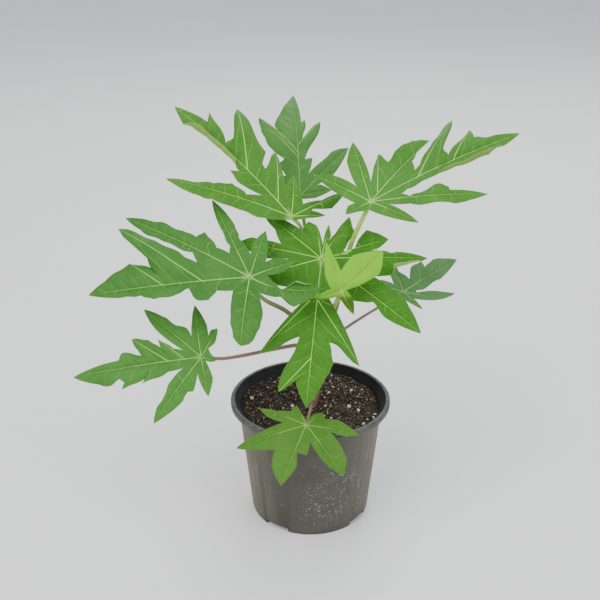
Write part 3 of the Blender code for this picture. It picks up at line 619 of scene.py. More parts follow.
class Shader:
    """A material under construction: a Principled shader and what feeds it."""

    def __init__(self, name: str, **constants: float) -> None:
        """Start a material.

        Args:
            name: the material's name.
            constants: values of the Principled shader's own sockets, spaces as underscores.
        """
        self.material = bpy.data.materials.new(name)
        self.material.use_nodes = True
        self.tree = self.material.node_tree
        self.principled = self.tree.nodes["Principled BSDF"]
        for socket, constant in constants.items():
            title = socket.replace("_", " ").title().replace("Ior", "IOR")
            self.principled.inputs[title].default_value = constant
        self.places = self.socket("ShaderNodeTexCoord", {}, {}, "Object")

    def node(self, kind: str, settings: dict[str, Any], inputs: dict[Any, Any]) -> bpy.types.Node:
        """Add a node, set its settings first and then its sockets.

        Args:
            kind: the node's type.
            settings: attributes of the node.
            inputs: a number, colour, value or link for each socket, by name or number.

        Returns:
            The node.
        """
        made = self.tree.nodes.new(kind)
        for setting, choice in settings.items():
            setattr(made, setting, choice)
        for socket, given in inputs.items():
            if isinstance(given, Value):
                self.tree.links.new(given.socket, made.inputs[socket])
            elif isinstance(given, bpy.types.NodeSocket):
                self.tree.links.new(given, made.inputs[socket])
            else:
                made.inputs[socket].default_value = given
        return made

    def socket(
        self, kind: str, settings: dict[str, Any], inputs: dict[Any, Any], output: Any = 0
    ) -> bpy.types.NodeSocket:
        """Add a node and return one of its outputs."""
        return self.node(kind, settings, inputs).outputs[output]

    def value(
        self, kind: str, settings: dict[str, Any], inputs: dict[Any, Any], output: Any = 0
    ) -> Value:
        """Add a node and return one of its outputs as a value."""
        return Value(self, self.socket(kind, settings, inputs, output))

    def map_pair(self, name: str) -> tuple[Value, Value]:
        """The two numbers of a UV map."""
        place = self.socket("ShaderNodeUVMap", {"uv_map": name}, {})
        split = self.node("ShaderNodeSeparateXYZ", {}, {0: place})
        return Value(self, split.outputs[0]), Value(self, split.outputs[1])

    def place(self) -> tuple[Value, Value, Value]:
        """X, Y and Z of the object's own frame, in metres."""
        split = self.node("ShaderNodeSeparateXYZ", {}, {0: self.places})
        return tuple(Value(self, output) for output in split.outputs[:3])

    def stretched(self, scale: tuple[float, float, float]) -> bpy.types.NodeSocket:
        """The object's own coordinates, scaled along each axis."""
        settings = {"vector_type": "POINT"}
        return self.socket("ShaderNodeMapping", settings, {"Vector": self.places, "Scale": scale})

    def cloud(
        self, scale: float, detail: float = 3.0, roughness: float = 0.55, at: Any = None
    ) -> Value:
        """Soft noise from 0 to 1, with scale bumps to a metre."""
        inputs = {
            "Vector": self.places if at is None else at,
            "Scale": scale,
            "Detail": detail,
            "Roughness": roughness,
        }
        return self.value("ShaderNodeTexNoise", {"noise_dimensions": "3D"}, inputs, 0)

    def cells(self, scale: float, feature: str = "F1", output: Any = "Distance") -> Value:
        """A cell pattern: distance to the cell's point or its edge, or its random colour."""
        inputs = {"Vector": self.places, "Scale": scale}
        return self.value("ShaderNodeTexVoronoi", {"feature": feature}, inputs, output)

    def blend(self, first: Any, second: Any, share: Number) -> bpy.types.NodeSocket:
        """A colour between two colours."""
        colours = [(*each, 1.0) if isinstance(each, tuple) else each for each in (first, second)]
        settings = {"data_type": "RGBA", "clamp_factor": True}
        return self.socket("ShaderNodeMix", settings, {0: share, 6: colours[0], 7: colours[1]}, 2)

    def bump(self, height: Value, depth: float, strength: float = 1.0) -> None:
        """Let a height from 0 to 1 dent the surface by that depth in metres."""
        inputs = {"Height": height, "Distance": depth, "Strength": strength}
        normal = self.socket("ShaderNodeBump", {}, inputs)
        self.tree.links.new(normal, self.principled.inputs["Normal"])

    def finish(self, colour: Any, roughness: Number) -> bpy.types.Material:
        """Feed the shader's colour and roughness, and return the material."""
        if isinstance(colour, tuple):
            self.principled.inputs["Base Color"].default_value = (*colour, 1.0)
        else:
            self.tree.links.new(colour, self.principled.inputs["Base Color"])
        if isinstance(roughness, Value):
            self.tree.links.new(roughness.socket, self.principled.inputs["Roughness"])
        else:
            self.principled.inputs["Roughness"].default_value = roughness
        return self.material


UNDERSIDE = (0.22, 0.36, 0.095)


@dataclass(frozen=True)
class LeafFinish:
    """The two faces of a blade: its green, a deeper green, its veins and its underside.

    fold is the level under which a blade that hangs over gets painted shade: it is darkened a little
    above that level and almost to black green below it.
    """

    name: str
    green: Colour
    deep: Colour
    vein: Colour
    under: Colour = UNDERSIDE
    roughness: float = 0.50
    vein_strength: float = 0.80
    side_strength: float = 0.24
    fold: Optional[float] = None

    def masks(self, shader: Shader) -> tuple[Value, Value, Value]:
        """Main veins, side veins and the fine net between them.

        A main vein is where the distance from a midrib or a branch, in millimetres, is under a
        half width that tapers to the tip.  A side vein is where the vein number, bowed towards
        the margin, is near a whole number.  The net is the edges of a cell pattern.

        Args:
            shader: the material under construction.

        Returns:
            Three masks from 0 to 1.
        """
        share, across = shader.map_pair("midrib")
        number, out = shader.map_pair("veins")
        away, taper = shader.map_pair("branch")
        half = 0.40 * (1.0 - share.at_most(0.96)) ** 0.7 + 0.06
        main = across.rise(half + 0.20, half - 0.10)
        branch = abs(away).rise(0.16 + 0.40 * taper, 0.30 * taper) * taper.rise(0.02, 0.12)
        wander = (shader.cloud(70.0, 2.0) - 0.5) * 0.35
        bowed = number + 0.30 * out * out + wander
        offset = abs((bowed + 0.5).fraction() - 0.5) * 10.0
        side = offset.rise(0.42 - 0.20 * out, 0.06) * out.rise(0.95, 0.45) * share.rise(0.02, 0.12)
        net = shader.cells(300.0, "DISTANCE_TO_EDGE").rise(0.08, 0.01)
        return main.at_least(branch), side, net

    def upper(self) -> bpy.types.Material:
        """The glossy upper face: mottled green with pale veins, a few dry specks and, under the fold
        level, painted shade.
        """
        shader = Shader(self.name + "_upper", specular_ior_level=0.20)
        main, side, net = self.masks(shader)
        share, _ = shader.map_pair("midrib")
        _, out = shader.map_pair("veins")
        broad = shader.cloud(30.0, 4.0).rise(0.34, 0.68)
        fine = shader.cloud(420.0, 2.0).rise(0.35, 0.75)
        colour = shader.blend(self.green, self.deep, broad)
        paler = tuple(0.80 * g + 0.20 * v for g, v in zip(self.green, self.vein))
        colour = shader.blend(colour, paler, fine * 0.18 + net * 0.15)
        # Painted shade: a blade that hangs below the fold level is darkened towards a deep, near-black
        # green.
        if self.fold is not None:
            _, _, level = shader.place()
            painted_half_shade = tuple(0.55 * c for c in self.deep)
            colour = shader.blend(colour, painted_half_shade, level.rise(self.fold + 0.012, self.fold + 0.002) * 0.6)
            dark = tuple(0.22 * c for c in self.deep)
            colour = shader.blend(colour, dark, level.rise(self.fold, self.fold - 0.003) * 0.95)
        colour = shader.blend(colour, self.vein, side * self.side_strength)
        colour = shader.blend(colour, self.vein, main * self.vein_strength)
        colour = shader.blend(colour, self.vein, share.rise(0.07, 0.0) * 0.40)
        colour = shader.blend(colour, self.vein, out.rise(0.965, 1.0) * 0.25)
        spot = shader.cells(210.0).rise(0.20, 0.11)
        rare = shader.cloud(95.0, 1.0).rise(0.68, 0.72)
        colour = shader.blend(colour, (0.40, 0.44, 0.28), spot * rare * 0.5)
        height = (1.0 - 0.7 * main) * (1.0 - 0.4 * side) + 0.22 * fine - 0.12 * net
        shader.bump(height, 0.00035, 0.8)
        return shader.finish(colour, self.roughness + 0.10 * fine + 0.06 * broad)

    def lower(self) -> bpy.types.Material:
        """The matt underside: pale green with veins that stand out."""
        shader = Shader(self.name + "_lower", specular_ior_level=0.22)
        main, side, net = self.masks(shader)
        broad = shader.cloud(45.0, 3.0).rise(0.3, 0.7)
        deeper = tuple(0.80 * u for u in self.under)
        colour = shader.blend(self.under, deeper, broad * 0.6 + net * 0.25)
        vein = tuple(min(1.0, 1.25 * v) for v in self.vein)
        colour = shader.blend(colour, vein, (main + side * 0.4).at_most(1.0) * 0.7)
        height = main + 0.5 * side + 0.2 * net
        shader.bump(height, 0.0004, 0.9)
        return shader.finish(colour, 0.62 + 0.08 * broad)


@dataclass(frozen=True)
class StalkFinish:
    """A leaf stalk's skin, from its foot to the blade."""

    name: str
    foot: Colour
    tip: Colour
    roughness: float = 0.42

    def skin(self) -> bpy.types.Material:
        """A satin skin whose colour runs along the stalk in fine streaks."""
        shader = Shader(self.name, specular_ior_level=0.45)
        share, _ = shader.map_pair("along")
        drift = share + (shader.cloud(160.0, 3.0) - 0.5) * 0.35
        colour = shader.blend(self.foot, self.tip, drift.rise(0.08, 0.9))
        streak = shader.cloud(60.0, 4.0, 0.7, shader.stretched((14.0, 14.0, 1.5))).rise(0.35, 0.7)
        dark = tuple(0.72 * c for c in self.foot)
        colour = shader.blend(colour, dark, streak * 0.3)
        shader.bump(streak, 0.0002, 0.7)
        return shader.finish(colour, self.roughness + 0.15 * streak)


# ------------------------------------------------------------------ blades


@dataclass
class Blade:
    """A leaf blade on the same rule as its solid, with veins, quilting and curled margins.

    vein_spacing is the way between side veins along a midrib, and branch_reach how far out a
    tooth must lie to get a branch vein.  The surface swells by quilt between side veins, by wave
    at the margin and by arch, a share of the width, across each half; fold is each half's slant
    in degrees.  groove and groove_width are the main veins' depth and half width.  A midrib's rib
    has a radius of rib_radius and rib_gain times the reach, a branch's rib one of branch_rib, and
    both lie under the groove by rib_sink of the thickness.
    """

    name: str
    leaf: Leaf
    finish: LeafFinish
    curls: tuple[Curl, ...] = ()
    thickness: float = 0.0007
    row_step: float = 0.0011
    web_rows: int = 22
    columns: int = 14
    vein_spacing: float = 0.0110
    branch_reach: float = 0.0190
    quilt: float = 0.0004
    fold: float = 5.0
    wave: float = 0.0008
    arch: float = 0.055
    groove: float = 0.00045
    groove_width: float = 0.0011
    rib_radius: float = 0.00025
    rib_gain: float = 0.0055
    rib_sink: float = 0.45
    branch_rib: float = 0.00042

    def between_lobes(self, turn: np.ndarray, name: str) -> np.ndarray:
        """A lobe's value at each bearing, eased by a half cosine from one lobe to the next.

        Args:
            turn: bearings in the blade, in radians.
            name: which of a lobe's values.

        Returns:
            The value at each bearing.
        """
        ordered = sorted(self.leaf.lobes, key=lambda lobe: lobe.turn)
        stops = [lobe.turn for lobe in ordered]
        values = [getattr(lobe, name) for lobe in ordered]
        marks = np.array([stops[-1] - 360, *stops, stops[0] + 360])
        heights = np.array([values[-1], *values, values[0]])
        bearing = np.degrees(turn) % 360
        index = np.clip(np.searchsorted(marks, bearing, side="right") - 1, 0, len(marks) - 2)
        share = (bearing - marks[index]) / (marks[index + 1] - marks[index])
        eased = 0.5 - 0.5 * np.cos(math.pi * np.clip(share, 0, 1))
        return heights[index] * (1 - eased) + heights[index + 1] * eased

    def axes(self) -> tuple[np.ndarray, np.ndarray, np.ndarray]:
        """The blade's right, up and outward directions from the way it faces."""
        azimuth, elevation = np.radians(self.leaf.facing)
        level = math.cos(elevation)
        outward = np.array(
            [math.cos(azimuth) * level, math.sin(azimuth) * level, math.sin(elevation)]
        )
        right = unit(np.cross((0.0, 0.0, 1.0), outward))
        return right, np.cross(outward, right), outward

    def bend(self, flat: np.ndarray) -> np.ndarray:
        """Lay points of the blade's plane on its curved surface.

        Each point keeps its distance from the junction along an arc that starts at the lobe's
        lift and turns down by its droop over its reach.

        Args:
            flat: points in the plane, with two coordinates on the last axis.

        Returns:
            Points in space.
        """
        distance = np.hypot(flat[..., 0], flat[..., 1])
        turn = np.arctan2(flat[..., 1], flat[..., 0])
        reach = self.between_lobes(turn, "reach")
        lift = np.radians(self.between_lobes(turn, "lift"))
        curvature = np.radians(self.between_lobes(turn, "droop")) / reach
        sweep = np.radians(self.between_lobes(turn, "sweep")) * (distance / reach - 1)
        along = (np.sin(lift) - np.sin(lift - curvature * distance)) / curvature
        rise = (np.cos(lift - curvature * distance) - np.cos(lift)) / curvature
        right, up, outward = self.axes()
        heading = direction(turn + sweep)
        spread = heading[..., :1] * right + heading[..., 1:] * up
        return np.array(self.leaf.junction) + along[..., None] * spread + rise[..., None] * outward

    def normals(self, flat: np.ndarray) -> np.ndarray:
        """The bent surface's outward normals: the cross product of two small steps on it."""
        step = 1e-5
        across = self.bend(flat + (step, 0.0)) - self.bend(flat - (step, 0.0))
        upward = self.bend(flat + (0.0, step)) - self.bend(flat - (0.0, step))
        return unit(np.cross(across, upward))

    def margin_keys(self, index: int, side: Side) -> tuple[np.ndarray, np.ndarray]:
        """Corner points of one side of a lobe, from cleft to tip, and their feet on its midrib.

        The line from a tooth that leans over the next notch passes inside that notch.

        Args:
            index: which lobe.
            side: which half of it.

        Returns:
            The corners and their feet.
        """
        lobe = self.leaf.lobes[index]
        neighbour = lobe if side is Side.LEFT else self.leaf.lobes[index - 1]
        axis, across = lobe.axis(), lobe.across(side)
        cleft_turn, cleft_distance = neighbour.cleft
        cleft = cleft_distance * direction(math.radians(cleft_turn)) / lobe.reach
        corners = np.array([cleft, *(x * axis + y * across for x, y in lobe.margin(side)), axis])
        feet = corners @ axis - corners @ across / math.tan(VEIN_SPLAY)
        for number in range(1, len(corners) - 2):
            tooth, notch = corners[number], corners[number + 1]
            along, out = (tooth - notch) @ axis, (tooth - notch) @ across
            if along > 0 and out > 0:
                passing = notch @ axis - along * (notch @ across) / out
                feet[number] = min(feet[number], passing)
        feet[-1] = 1.0
        return corners * lobe.reach, feet

    def ordered_feet(self, feet: np.ndarray, first: float) -> np.ndarray:
        """Feet kept in order along the midrib, FOOT_STEP or more apart, from the web's end."""
        ordered = [first]
        for number, foot in enumerate(feet[1:-1], start=1):
            latest = 1 - FOOT_STEP * (len(feet) - 1 - number)
            ordered.append(min(max(foot, ordered[-1] + FOOT_STEP), latest))
        return np.array(ordered + [1.0])

    def margin_curve(
        self, corners: np.ndarray, feet: np.ndarray, stops: np.ndarray, side: Side
    ) -> np.ndarray:
        """The margin at each stop.

        Between two corners it follows their chord, pushed out by a parabola and, between teeth
        and notches, by one turn of a sine, both as shares of the chord's length.

        Args:
            corners: corner points from cleft to tip.
            feet: their feet on the midrib, as shares of the reach.
            stops: where to read the margin.
            side: which half of the lobe.

        Returns:
            One plane point for each stop.
        """
        outward = -1 if side is Side.LEFT else 1
        points = np.zeros((len(stops), 2))
        for number in range(len(feet) - 1):
            inside = stops >= feet[number] - SAME_FOOT
            inside &= stops <= feet[number + 1] + SAME_FOOT
            gap = feet[number + 1] - feet[number]
            share = np.clip((stops[inside] - feet[number]) / gap, 0, 1)
            chord = corners[number + 1] - corners[number]
            is_last = number == len(feet) - 2
            curl = 0.0 if number == 0 or is_last else TOOTH_CURL * (1 if number % 2 else -1)
            bulge = END_BULGE if is_last else EDGE_BULGE
            swell = bulge * 4 * share * (1 - share) + curl * np.sin(math.tau * share)
            normal = outward * np.array([chord[1], -chord[0]])
            points[inside] = corners[number] + share[:, None] * chord + swell[:, None] * normal
        return points

    def vein_numbers(
        self, corners: np.ndarray, feet: np.ndarray, stops: np.ndarray, index: int, side: Side
    ) -> np.ndarray:
        """Number the side veins along the midrib so that one ends in each tooth.

        The number runs straight between teeth and is whole where a vein leaves the midrib.

        Args:
            corners: corner points from cleft to tip.
            feet: their feet on the midrib, as shares of the reach.
            stops: where to read the number.
            index: which lobe.
            side: which half of it.

        Returns:
            One number for each stop.
        """
        lobe = self.leaf.lobes[index]
        out = corners @ lobe.across(side)
        teeth = [k for k in range(1, len(out) - 1) if out[k] > out[k + 1] and out[k] > 0.7 * out[k - 1]]
        marks, numbers = [feet[0]], [0.5]
        for tooth in teeth:
            veins = max(1, round((feet[tooth] - marks[-1]) * lobe.reach / self.vein_spacing))
            marks.append(feet[tooth])
            numbers.append(math.floor(numbers[-1]) + veins)
        veins = max(1, round((1.0 - marks[-1]) * lobe.reach / self.vein_spacing))
        marks.append(1.0)
        numbers.append(math.floor(numbers[-1]) + veins + 0.5)
        return np.interp(stops, marks, numbers)

    def branches(self, index: int) -> list[tuple[np.ndarray, np.ndarray]]:
        """The foot and the tip of each main branch vein of a lobe, one for each large tooth."""
        lobe = self.leaf.lobes[index]
        axis = lobe.axis()
        found = []
        for side in Side:
            corners, _ = self.margin_keys(index, side)
            out = corners @ lobe.across(side)
            for k in range(1, len(out) - 1):
                if out[k] > max(out[k + 1], 0.8 * out[k - 1], self.branch_reach):
                    foot = corners[k] @ axis - out[k] / math.tan(BRANCH_SPLAY)
                    found.append((max(foot, FIRST_BRANCH * lobe.reach) * axis, corners[k]))
        return found

    def branch_map(self, flat: np.ndarray, index: int) -> np.ndarray:
        """Signed distance from the nearest branch vein, in millimetres, and its taper.

        The taper is 1 at the branch's foot, falls to 0 at its tip and is 0 away from it.

        Args:
            flat: points in the plane.
            index: which lobe they belong to.

        Returns:
            A pair of numbers for each point.
        """
        nearest = np.full(flat.shape[:-1], 9.0)
        taper = np.zeros(flat.shape[:-1])
        for foot, tip in self.branches(index):
            way = tip - foot
            length = np.linalg.norm(way)
            share = (flat - foot) @ way / length**2
            away = MM_PER_METRE * (flat - foot) @ np.array([-way[1], way[0]]) / length
            closer = np.abs(away) < np.abs(nearest)
            reach = np.clip(1.0 - share, 0.0, 1.0) ** 0.7 * min(1.0, length / 0.035) ** 0.5
            window = smoothstep(-0.04, 0.0, share) * smoothstep(3.0, 1.6, np.abs(away))
            taper = np.where(closer, reach * window, taper)
            nearest = np.where(closer, away, nearest)
        return np.stack([nearest, taper], axis=-1)

    def groove_depth(self, flat: np.ndarray) -> np.ndarray:
        """How deep the main veins sink: a bell across each midrib, the deepest one counting."""
        depth = np.zeros(flat.shape[:-1])
        for lobe in self.leaf.lobes:
            axis = lobe.axis()
            along = flat @ axis
            across = flat @ np.array([-axis[1], axis[0]])
            taper = smoothstep(0.0, 0.004, along) * (1 - smoothstep(0.5, 1.0, along / lobe.reach))
            bell = np.exp(-((across / self.groove_width) ** 2))
            shallow = 1 - smoothstep(0.60, 0.95, along / lobe.reach)
            depth = np.maximum(depth, bell * (0.35 + 0.65 * taper) * shallow)
        return depth * self.groove

    def roll(
        self, flat: np.ndarray, feet: np.ndarray, index: int, side: Side
    ) -> tuple[np.ndarray, np.ndarray]:
        """Roll the margins that curl up.

        Beyond the roll's start each cross line turns up along a circle: the way in the plane is
        the radius times the sine of the turn, and the rise the radius times one less its cosine.

        Args:
            flat: rows of plane points from midrib to margin.
            feet: the foot of each row on the midrib, as a share of the reach.
            index: which lobe.
            side: which half of it.

        Returns:
            The plane points and their rise.
        """
        rise = np.zeros(flat.shape[:-1])
        for curl in self.curls:
            if curl.lobe != index or curl.side is not side:
                continue
            span = curl.high - curl.low
            window = smoothstep(curl.low, curl.low + 0.25 * span, feet) * (
                1 - smoothstep(curl.high - 0.25 * span, curl.high, feet)
            )
            share = np.linspace(0.0, 1.0, flat.shape[1])
            way = flat[:, -1:] - flat[:, :1]
            length = np.linalg.norm(way, axis=-1)
            past = np.clip(share - curl.start, 0.0, None)[None, :]
            arc = past * length * (1.0 + curl.widen * window[:, None])
            turned = math.radians(curl.angle) * window[:, None] * past / (1.0 - curl.start)
            flatwise = arc * np.sinc(turned / math.pi)
            kept = np.minimum(share, curl.start)[None, :] * length + flatwise
            flat = flat[:, :1] + unit(way) * kept[..., None]
            rise = rise + arc * (turned / 2) * np.sinc(turned / math.tau) ** 2
        return flat, rise

    def add_half(self, surface: Surface, index: int, side: Side) -> None:
        """Add one half of a lobe with the web at its foot.

        Rows follow the side veins from midrib to margin.  The surface rises from the bent plane
        by the quilting (a squared sine of the vein number), an arch across the half, a slight
        fold along the midrib and a wave at the margin.  All four fade out in the web, where
        neighbouring lobes meet, and the veins' grooves depend on the place alone, so the halves
        meet exactly.

        Args:
            surface: where the grid goes.
            index: which lobe.
            side: which half of it.
        """
        lobe = self.leaf.lobes[index]
        keys = {each: self.margin_keys(index, each) for each in Side}
        web = 0.5 * sum(max(keys[each][1][0], 0.0) for each in Side)
        web = min(max(web, FIRST_FOOT), LAST_FOOT)
        feet = {each: self.ordered_feet(keys[each][1], web) for each in Side}
        marks = np.unique(np.round(np.concatenate([feet[each] for each in Side]), 6))
        marks[0] = web
        counts = np.ceil(np.diff(marks) * lobe.reach / self.row_step).astype(int).clip(1)
        runs = [np.linspace(*pair, n + 1)[:-1] for *pair, n in zip(marks, marks[1:], counts)]
        stops = np.concatenate([*runs, [1.0]])
        corners = keys[side][0]
        axis = lobe.axis()
        margin = self.margin_curve(corners, feet[side], stops, side)
        shares = np.linspace(0.0, 1.0, self.web_rows, endpoint=False)
        foot = np.concatenate([shares * web, stops])
        inner = foot[:, None] * lobe.reach * axis
        outer = np.concatenate([shares[:, None] * corners[0], margin])
        number = self.vein_numbers(corners, feet[side], stops, index, side)
        number = np.concatenate([np.full(self.web_rows, 0.5), number])
        column = np.linspace(0.0, 1.0, self.columns + 1)
        flat = inner[:, None] + column[None, :, None] * (outer - inner)[:, None]
        turned = 1 if side is Side.LEFT else -1
        across = turned * (flat @ np.array([-axis[1], axis[0]]))
        along = flat @ axis
        width = np.linalg.norm(outer - inner, axis=-1)[:, None]
        fade = smoothstep(web, min(web + 0.30, 0.9), foot)[:, None]
        broad = smoothstep(0.002, 0.014, width)
        phase = noise(np.array([[index * 3.7, turned * 2.3]]), 5)[0] * math.pi
        quilt = np.sin(math.pi * number)[:, None] ** 2 * np.sin(math.pi * column**0.8)[None, :]
        arch = self.arch * width * np.sin(math.pi * column)[None, :]
        wave = np.sin(0.8 * math.pi * number + phase)[:, None] * column[None, :] ** 3
        rise = fade * (
            broad * (self.quilt * quilt + self.wave * wave)
            + arch
            + math.tan(math.radians(self.fold)) * across
        )
        rolled, roll_rise = self.roll(flat, foot, index, side)
        rise = rise + roll_rise - self.groove_depth(flat)
        points = self.bend(rolled) + rise[..., None] * self.normals(rolled)
        midrib = np.stack([along / lobe.reach, across * MM_PER_METRE], axis=-1)
        veins = np.stack(np.broadcast_arrays(number[:, None], column[None, :]), axis=-1)
        branch = self.branch_map(flat, index)
        surface.add_grid(points, side is Side.LEFT, midrib=midrib, veins=veins, branch=branch)

    def build(self) -> list[bpy.types.Object]:
        """Make the blade and the ribs under it."""
        surface = Surface()
        for index in range(len(self.leaf.lobes)):
            for side in Side:
                self.add_half(surface, index, side)
        blade = surface.build("blade_" + self.name, [self.finish.upper(), self.finish.lower()])
        shell = blade.modifiers.new("Thickness", "SOLIDIFY")
        shell.thickness = self.thickness
        shell.offset = 0.0
        shell.material_offset = 1
        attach(blade, "root")
        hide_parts("leaf_" + self.name)
        return [blade, self.build_ribs()]

    def rib_path(self, flat: np.ndarray) -> np.ndarray:
        """A rib's centre line: points of the plane on the bent surface, sunk below the grooves."""
        depth = self.groove_depth(flat) + self.rib_sink * self.thickness
        return self.bend(flat) - depth[:, None] * self.normals(flat)

    def build_ribs(self) -> bpy.types.Object:
        """Make the main veins' ribs: thin tapering tubes half sunk in the underside."""
        surface = Surface()
        for lobe in self.leaf.lobes:
            axis = lobe.axis()
            share = np.linspace(0.0, 0.94, max(10, int(lobe.reach / 0.0025)))
            flat = share[:, None] * lobe.reach * axis
            radius = (self.rib_radius + self.rib_gain * lobe.reach) * (1 - 0.9 * share) ** 0.7
            tube(surface, self.rib_path(flat), radius, 8)
        for index in range(len(self.leaf.lobes)):
            for foot, tip in self.branches(index):
                share = np.linspace(0.0, 0.9, 10)[:, None]
                flat = foot + share * (tip - foot)
                radius = self.branch_rib * (1 - 0.9 * share[:, 0]) ** 0.7
                tube(surface, self.rib_path(flat), radius, 6)
        colour = tuple(0.35 * u + 0.65 * v for u, v in zip(self.finish.under, self.finish.vein))
        skin = StalkFinish("ribs_" + self.name, colour, colour, 0.5).skin()
        ribs = surface.build("ribs_" + self.name, [skin])
        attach(ribs, "root")
        return ribs


# ------------------------------------------------------------------ stem and stalks


def skin_places(along: np.ndarray, turn: np.ndarray, wrap: float) -> np.ndarray:
    """Places for noise on a limb's skin: the way along it, and a circle of radius wrap."""
    rounds = wrap * np.cos(turn)[None], wrap * np.sin(turn)[None]
    return np.stack(np.broadcast_arrays(along[:, None], *rounds), axis=-1)


@dataclass
class Stem:
    """The short stem: it leans just above the soil, tapers evenly and ends in a round tip.

    The first leaf scar lies scar_start up the stem and each next one scar_step higher, turned by
    the golden angle.  scar_height and cushion_height are half heights of a scar and of the
    swelling at a stalk's foot.  bud_length is the longest of the bud's shoots, bud_step by how
    much each next one is shorter, and bud_radius sets how thick they are.
    """

    scars: int = 9
    rings: int = 300
    sides: int = 72
    scar_start: float = 0.010
    scar_step: float = 0.0068
    scar_height: float = 0.0011
    cushion_height: float = 0.0034
    bud_shoots: int = 4
    bud_length: float = 0.0105
    bud_step: float = 0.0016
    bud_radius: float = 0.0011

    def centre(self, height: np.ndarray) -> np.ndarray:
        """Centre line: an exponential lean to +X over a straight rise."""
        lean = STEM_LEAN * (1 - np.exp(-height / STEM_LEAN_LENGTH))
        level = SOIL_LEVEL + SOIL_GAP + height
        return np.stack([STEM_FOOT_X + lean, np.zeros_like(height), level], axis=-1)

    def radius(self, height: np.ndarray) -> np.ndarray:
        """Radius: an even taper, an exponential flare at the foot and a rounded tip."""
        radius = STEM_RADIUS - STEM_TAPER * height / STEM_HEIGHT
        radius = radius + FLARE * np.exp(-height / FLARE_LENGTH)
        into_tip = np.clip((height - STEM_HEIGHT + TIP_LENGTH) / TIP_LENGTH, 0.0, 1.0)
        return TIP_RADIUS + (radius - TIP_RADIUS) * np.sqrt(1 - into_tip**2)

    def relief(self, height: np.ndarray, turn: np.ndarray) -> np.ndarray:
        """Bark relief as a share of the radius: fine ridges, leaf scars and stalk cushions."""
        places = skin_places(height * 160, turn, 2.2)
        streaks = places * np.array([0.35, 3.0, 3.0])
        relief = 0.035 * noise(places, 3, 3) + 0.03 * noise(streaks, 8, 2)
        number = np.arange(self.scars)
        scar_place = self.scar_start + self.scar_step * number
        scar_turn = number * GOLDEN_TURN
        rise = (height[:, None, None] - scar_place) / self.scar_height
        swing = np.angle(np.exp(1j * (turn[None, :, None] - scar_turn))) / 0.75
        bow = rise + 0.9 * swing**2
        relief = relief + (0.09 * np.exp(-(bow**2) - swing**4)).sum(axis=-1)
        for stalk in PETIOLES.values():
            rise = (height[:, None] - stalk.height) / self.cushion_height
            swing = np.angle(np.exp(1j * (turn[None, :] - math.radians(stalk.turn)))) / 0.62
            relief = relief + 0.20 * np.exp(-(rise**2) - swing**2)
        calm = smoothstep(STEM_HEIGHT, STEM_HEIGHT - TIP_LENGTH, height)[:, None]
        return relief * calm

    def build(self) -> list[bpy.types.Object]:
        """Make the stem and the bud at its tip."""
        height = np.linspace(0.0, STEM_HEIGHT, self.rings)
        turn = np.linspace(0.0, math.tau, self.sides + 1)
        turn[-1] = 0.0
        ring = np.stack([np.cos(turn), np.sin(turn), np.zeros_like(turn)], axis=-1)
        radius = self.radius(height)[:, None] * (1 + self.relief(height, turn))
        body = self.centre(height)[:, None] + ring[None] * radius[..., None]
        foot = np.broadcast_to(self.centre(np.zeros(1)), (1, self.sides + 1, 3))
        grid = np.concatenate([foot, body, np.broadcast_to(self.centre(height[-1:]), foot.shape)])
        share = np.concatenate([[0.0], height / STEM_HEIGHT, [1.0]])
        along = np.stack(np.broadcast_arrays(share[:, None], turn[None] / math.tau), axis=-1)
        surface = Surface()
        surface.add_grid(grid, along=along)
        stem = surface.build("stem_bark", [self.bark()])
        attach(stem, "root")
        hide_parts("stem")
        return [stem, self.build_bud()]

    def bark(self) -> bpy.types.Material:
        """Brown-pink skin at the foot that turns green towards the tip."""
        shader = Shader("stem_bark", specular_ior_level=0.35)
        share, _ = shader.map_pair("along")
        drift = share + (shader.cloud(130.0, 4.0) - 0.5) * 0.3
        colour = shader.blend((0.30, 0.20, 0.13), (0.30, 0.24, 0.11), drift.rise(0.05, 0.4))
        colour = shader.blend(colour, (0.22, 0.30, 0.075), drift.rise(0.35, 0.8))
        streak = shader.cloud(90.0, 5.0, 0.7, shader.stretched((6.0, 6.0, 0.8))).rise(0.4, 0.7)
        colour = shader.blend(colour, (0.10, 0.055, 0.035), streak * 0.45)
        pores = shader.cells(520.0).rise(0.30, 0.16) * shader.cloud(260.0, 2.0).rise(0.5, 0.62)
        colour = shader.blend(colour, (0.42, 0.33, 0.22), pores * 0.6)
        shader.bump(streak + pores, 0.0003, 0.8)
        return shader.finish(colour, 0.6 + 0.15 * streak)

    def build_bud(self) -> bpy.types.Object:
        """Make the bud: a few folded shoots that bend outwards from the tip."""
        surface = Surface()
        tip = self.centre(np.array([STEM_HEIGHT - 0.003]))[0]
        for number in range(self.bud_shoots):
            turn = 1.1 + number * GOLDEN_TURN
            share = np.linspace(0.0, 1.0, 18)
            length = self.bud_length - self.bud_step * number
            out = 0.0014 + 0.0022 * share**2 * (1 + 0.3 * number)
            path = tip + np.stack(
                [out * math.cos(turn), out * math.sin(turn), share * length], axis=-1
            )
            swell = (0.75 + 0.55 * np.sin(math.pi * share**0.8)) * (1.03 - share) ** 0.4
            radius = self.bud_radius * swell
            round_turn = np.linspace(0.0, math.tau, 15)
            pleats = 0.13 * np.cos(5 * round_turn)[None, :] * np.sin(math.pi * share)[:, None]
            tube(surface, path, radius, 14, pleats)
        skin = StalkFinish("bud_skin", (0.20, 0.30, 0.06), (0.30, 0.42, 0.10), 0.45).skin()
        bud = surface.build("tip_bud", [skin])
        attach(bud, "root")
        return bud


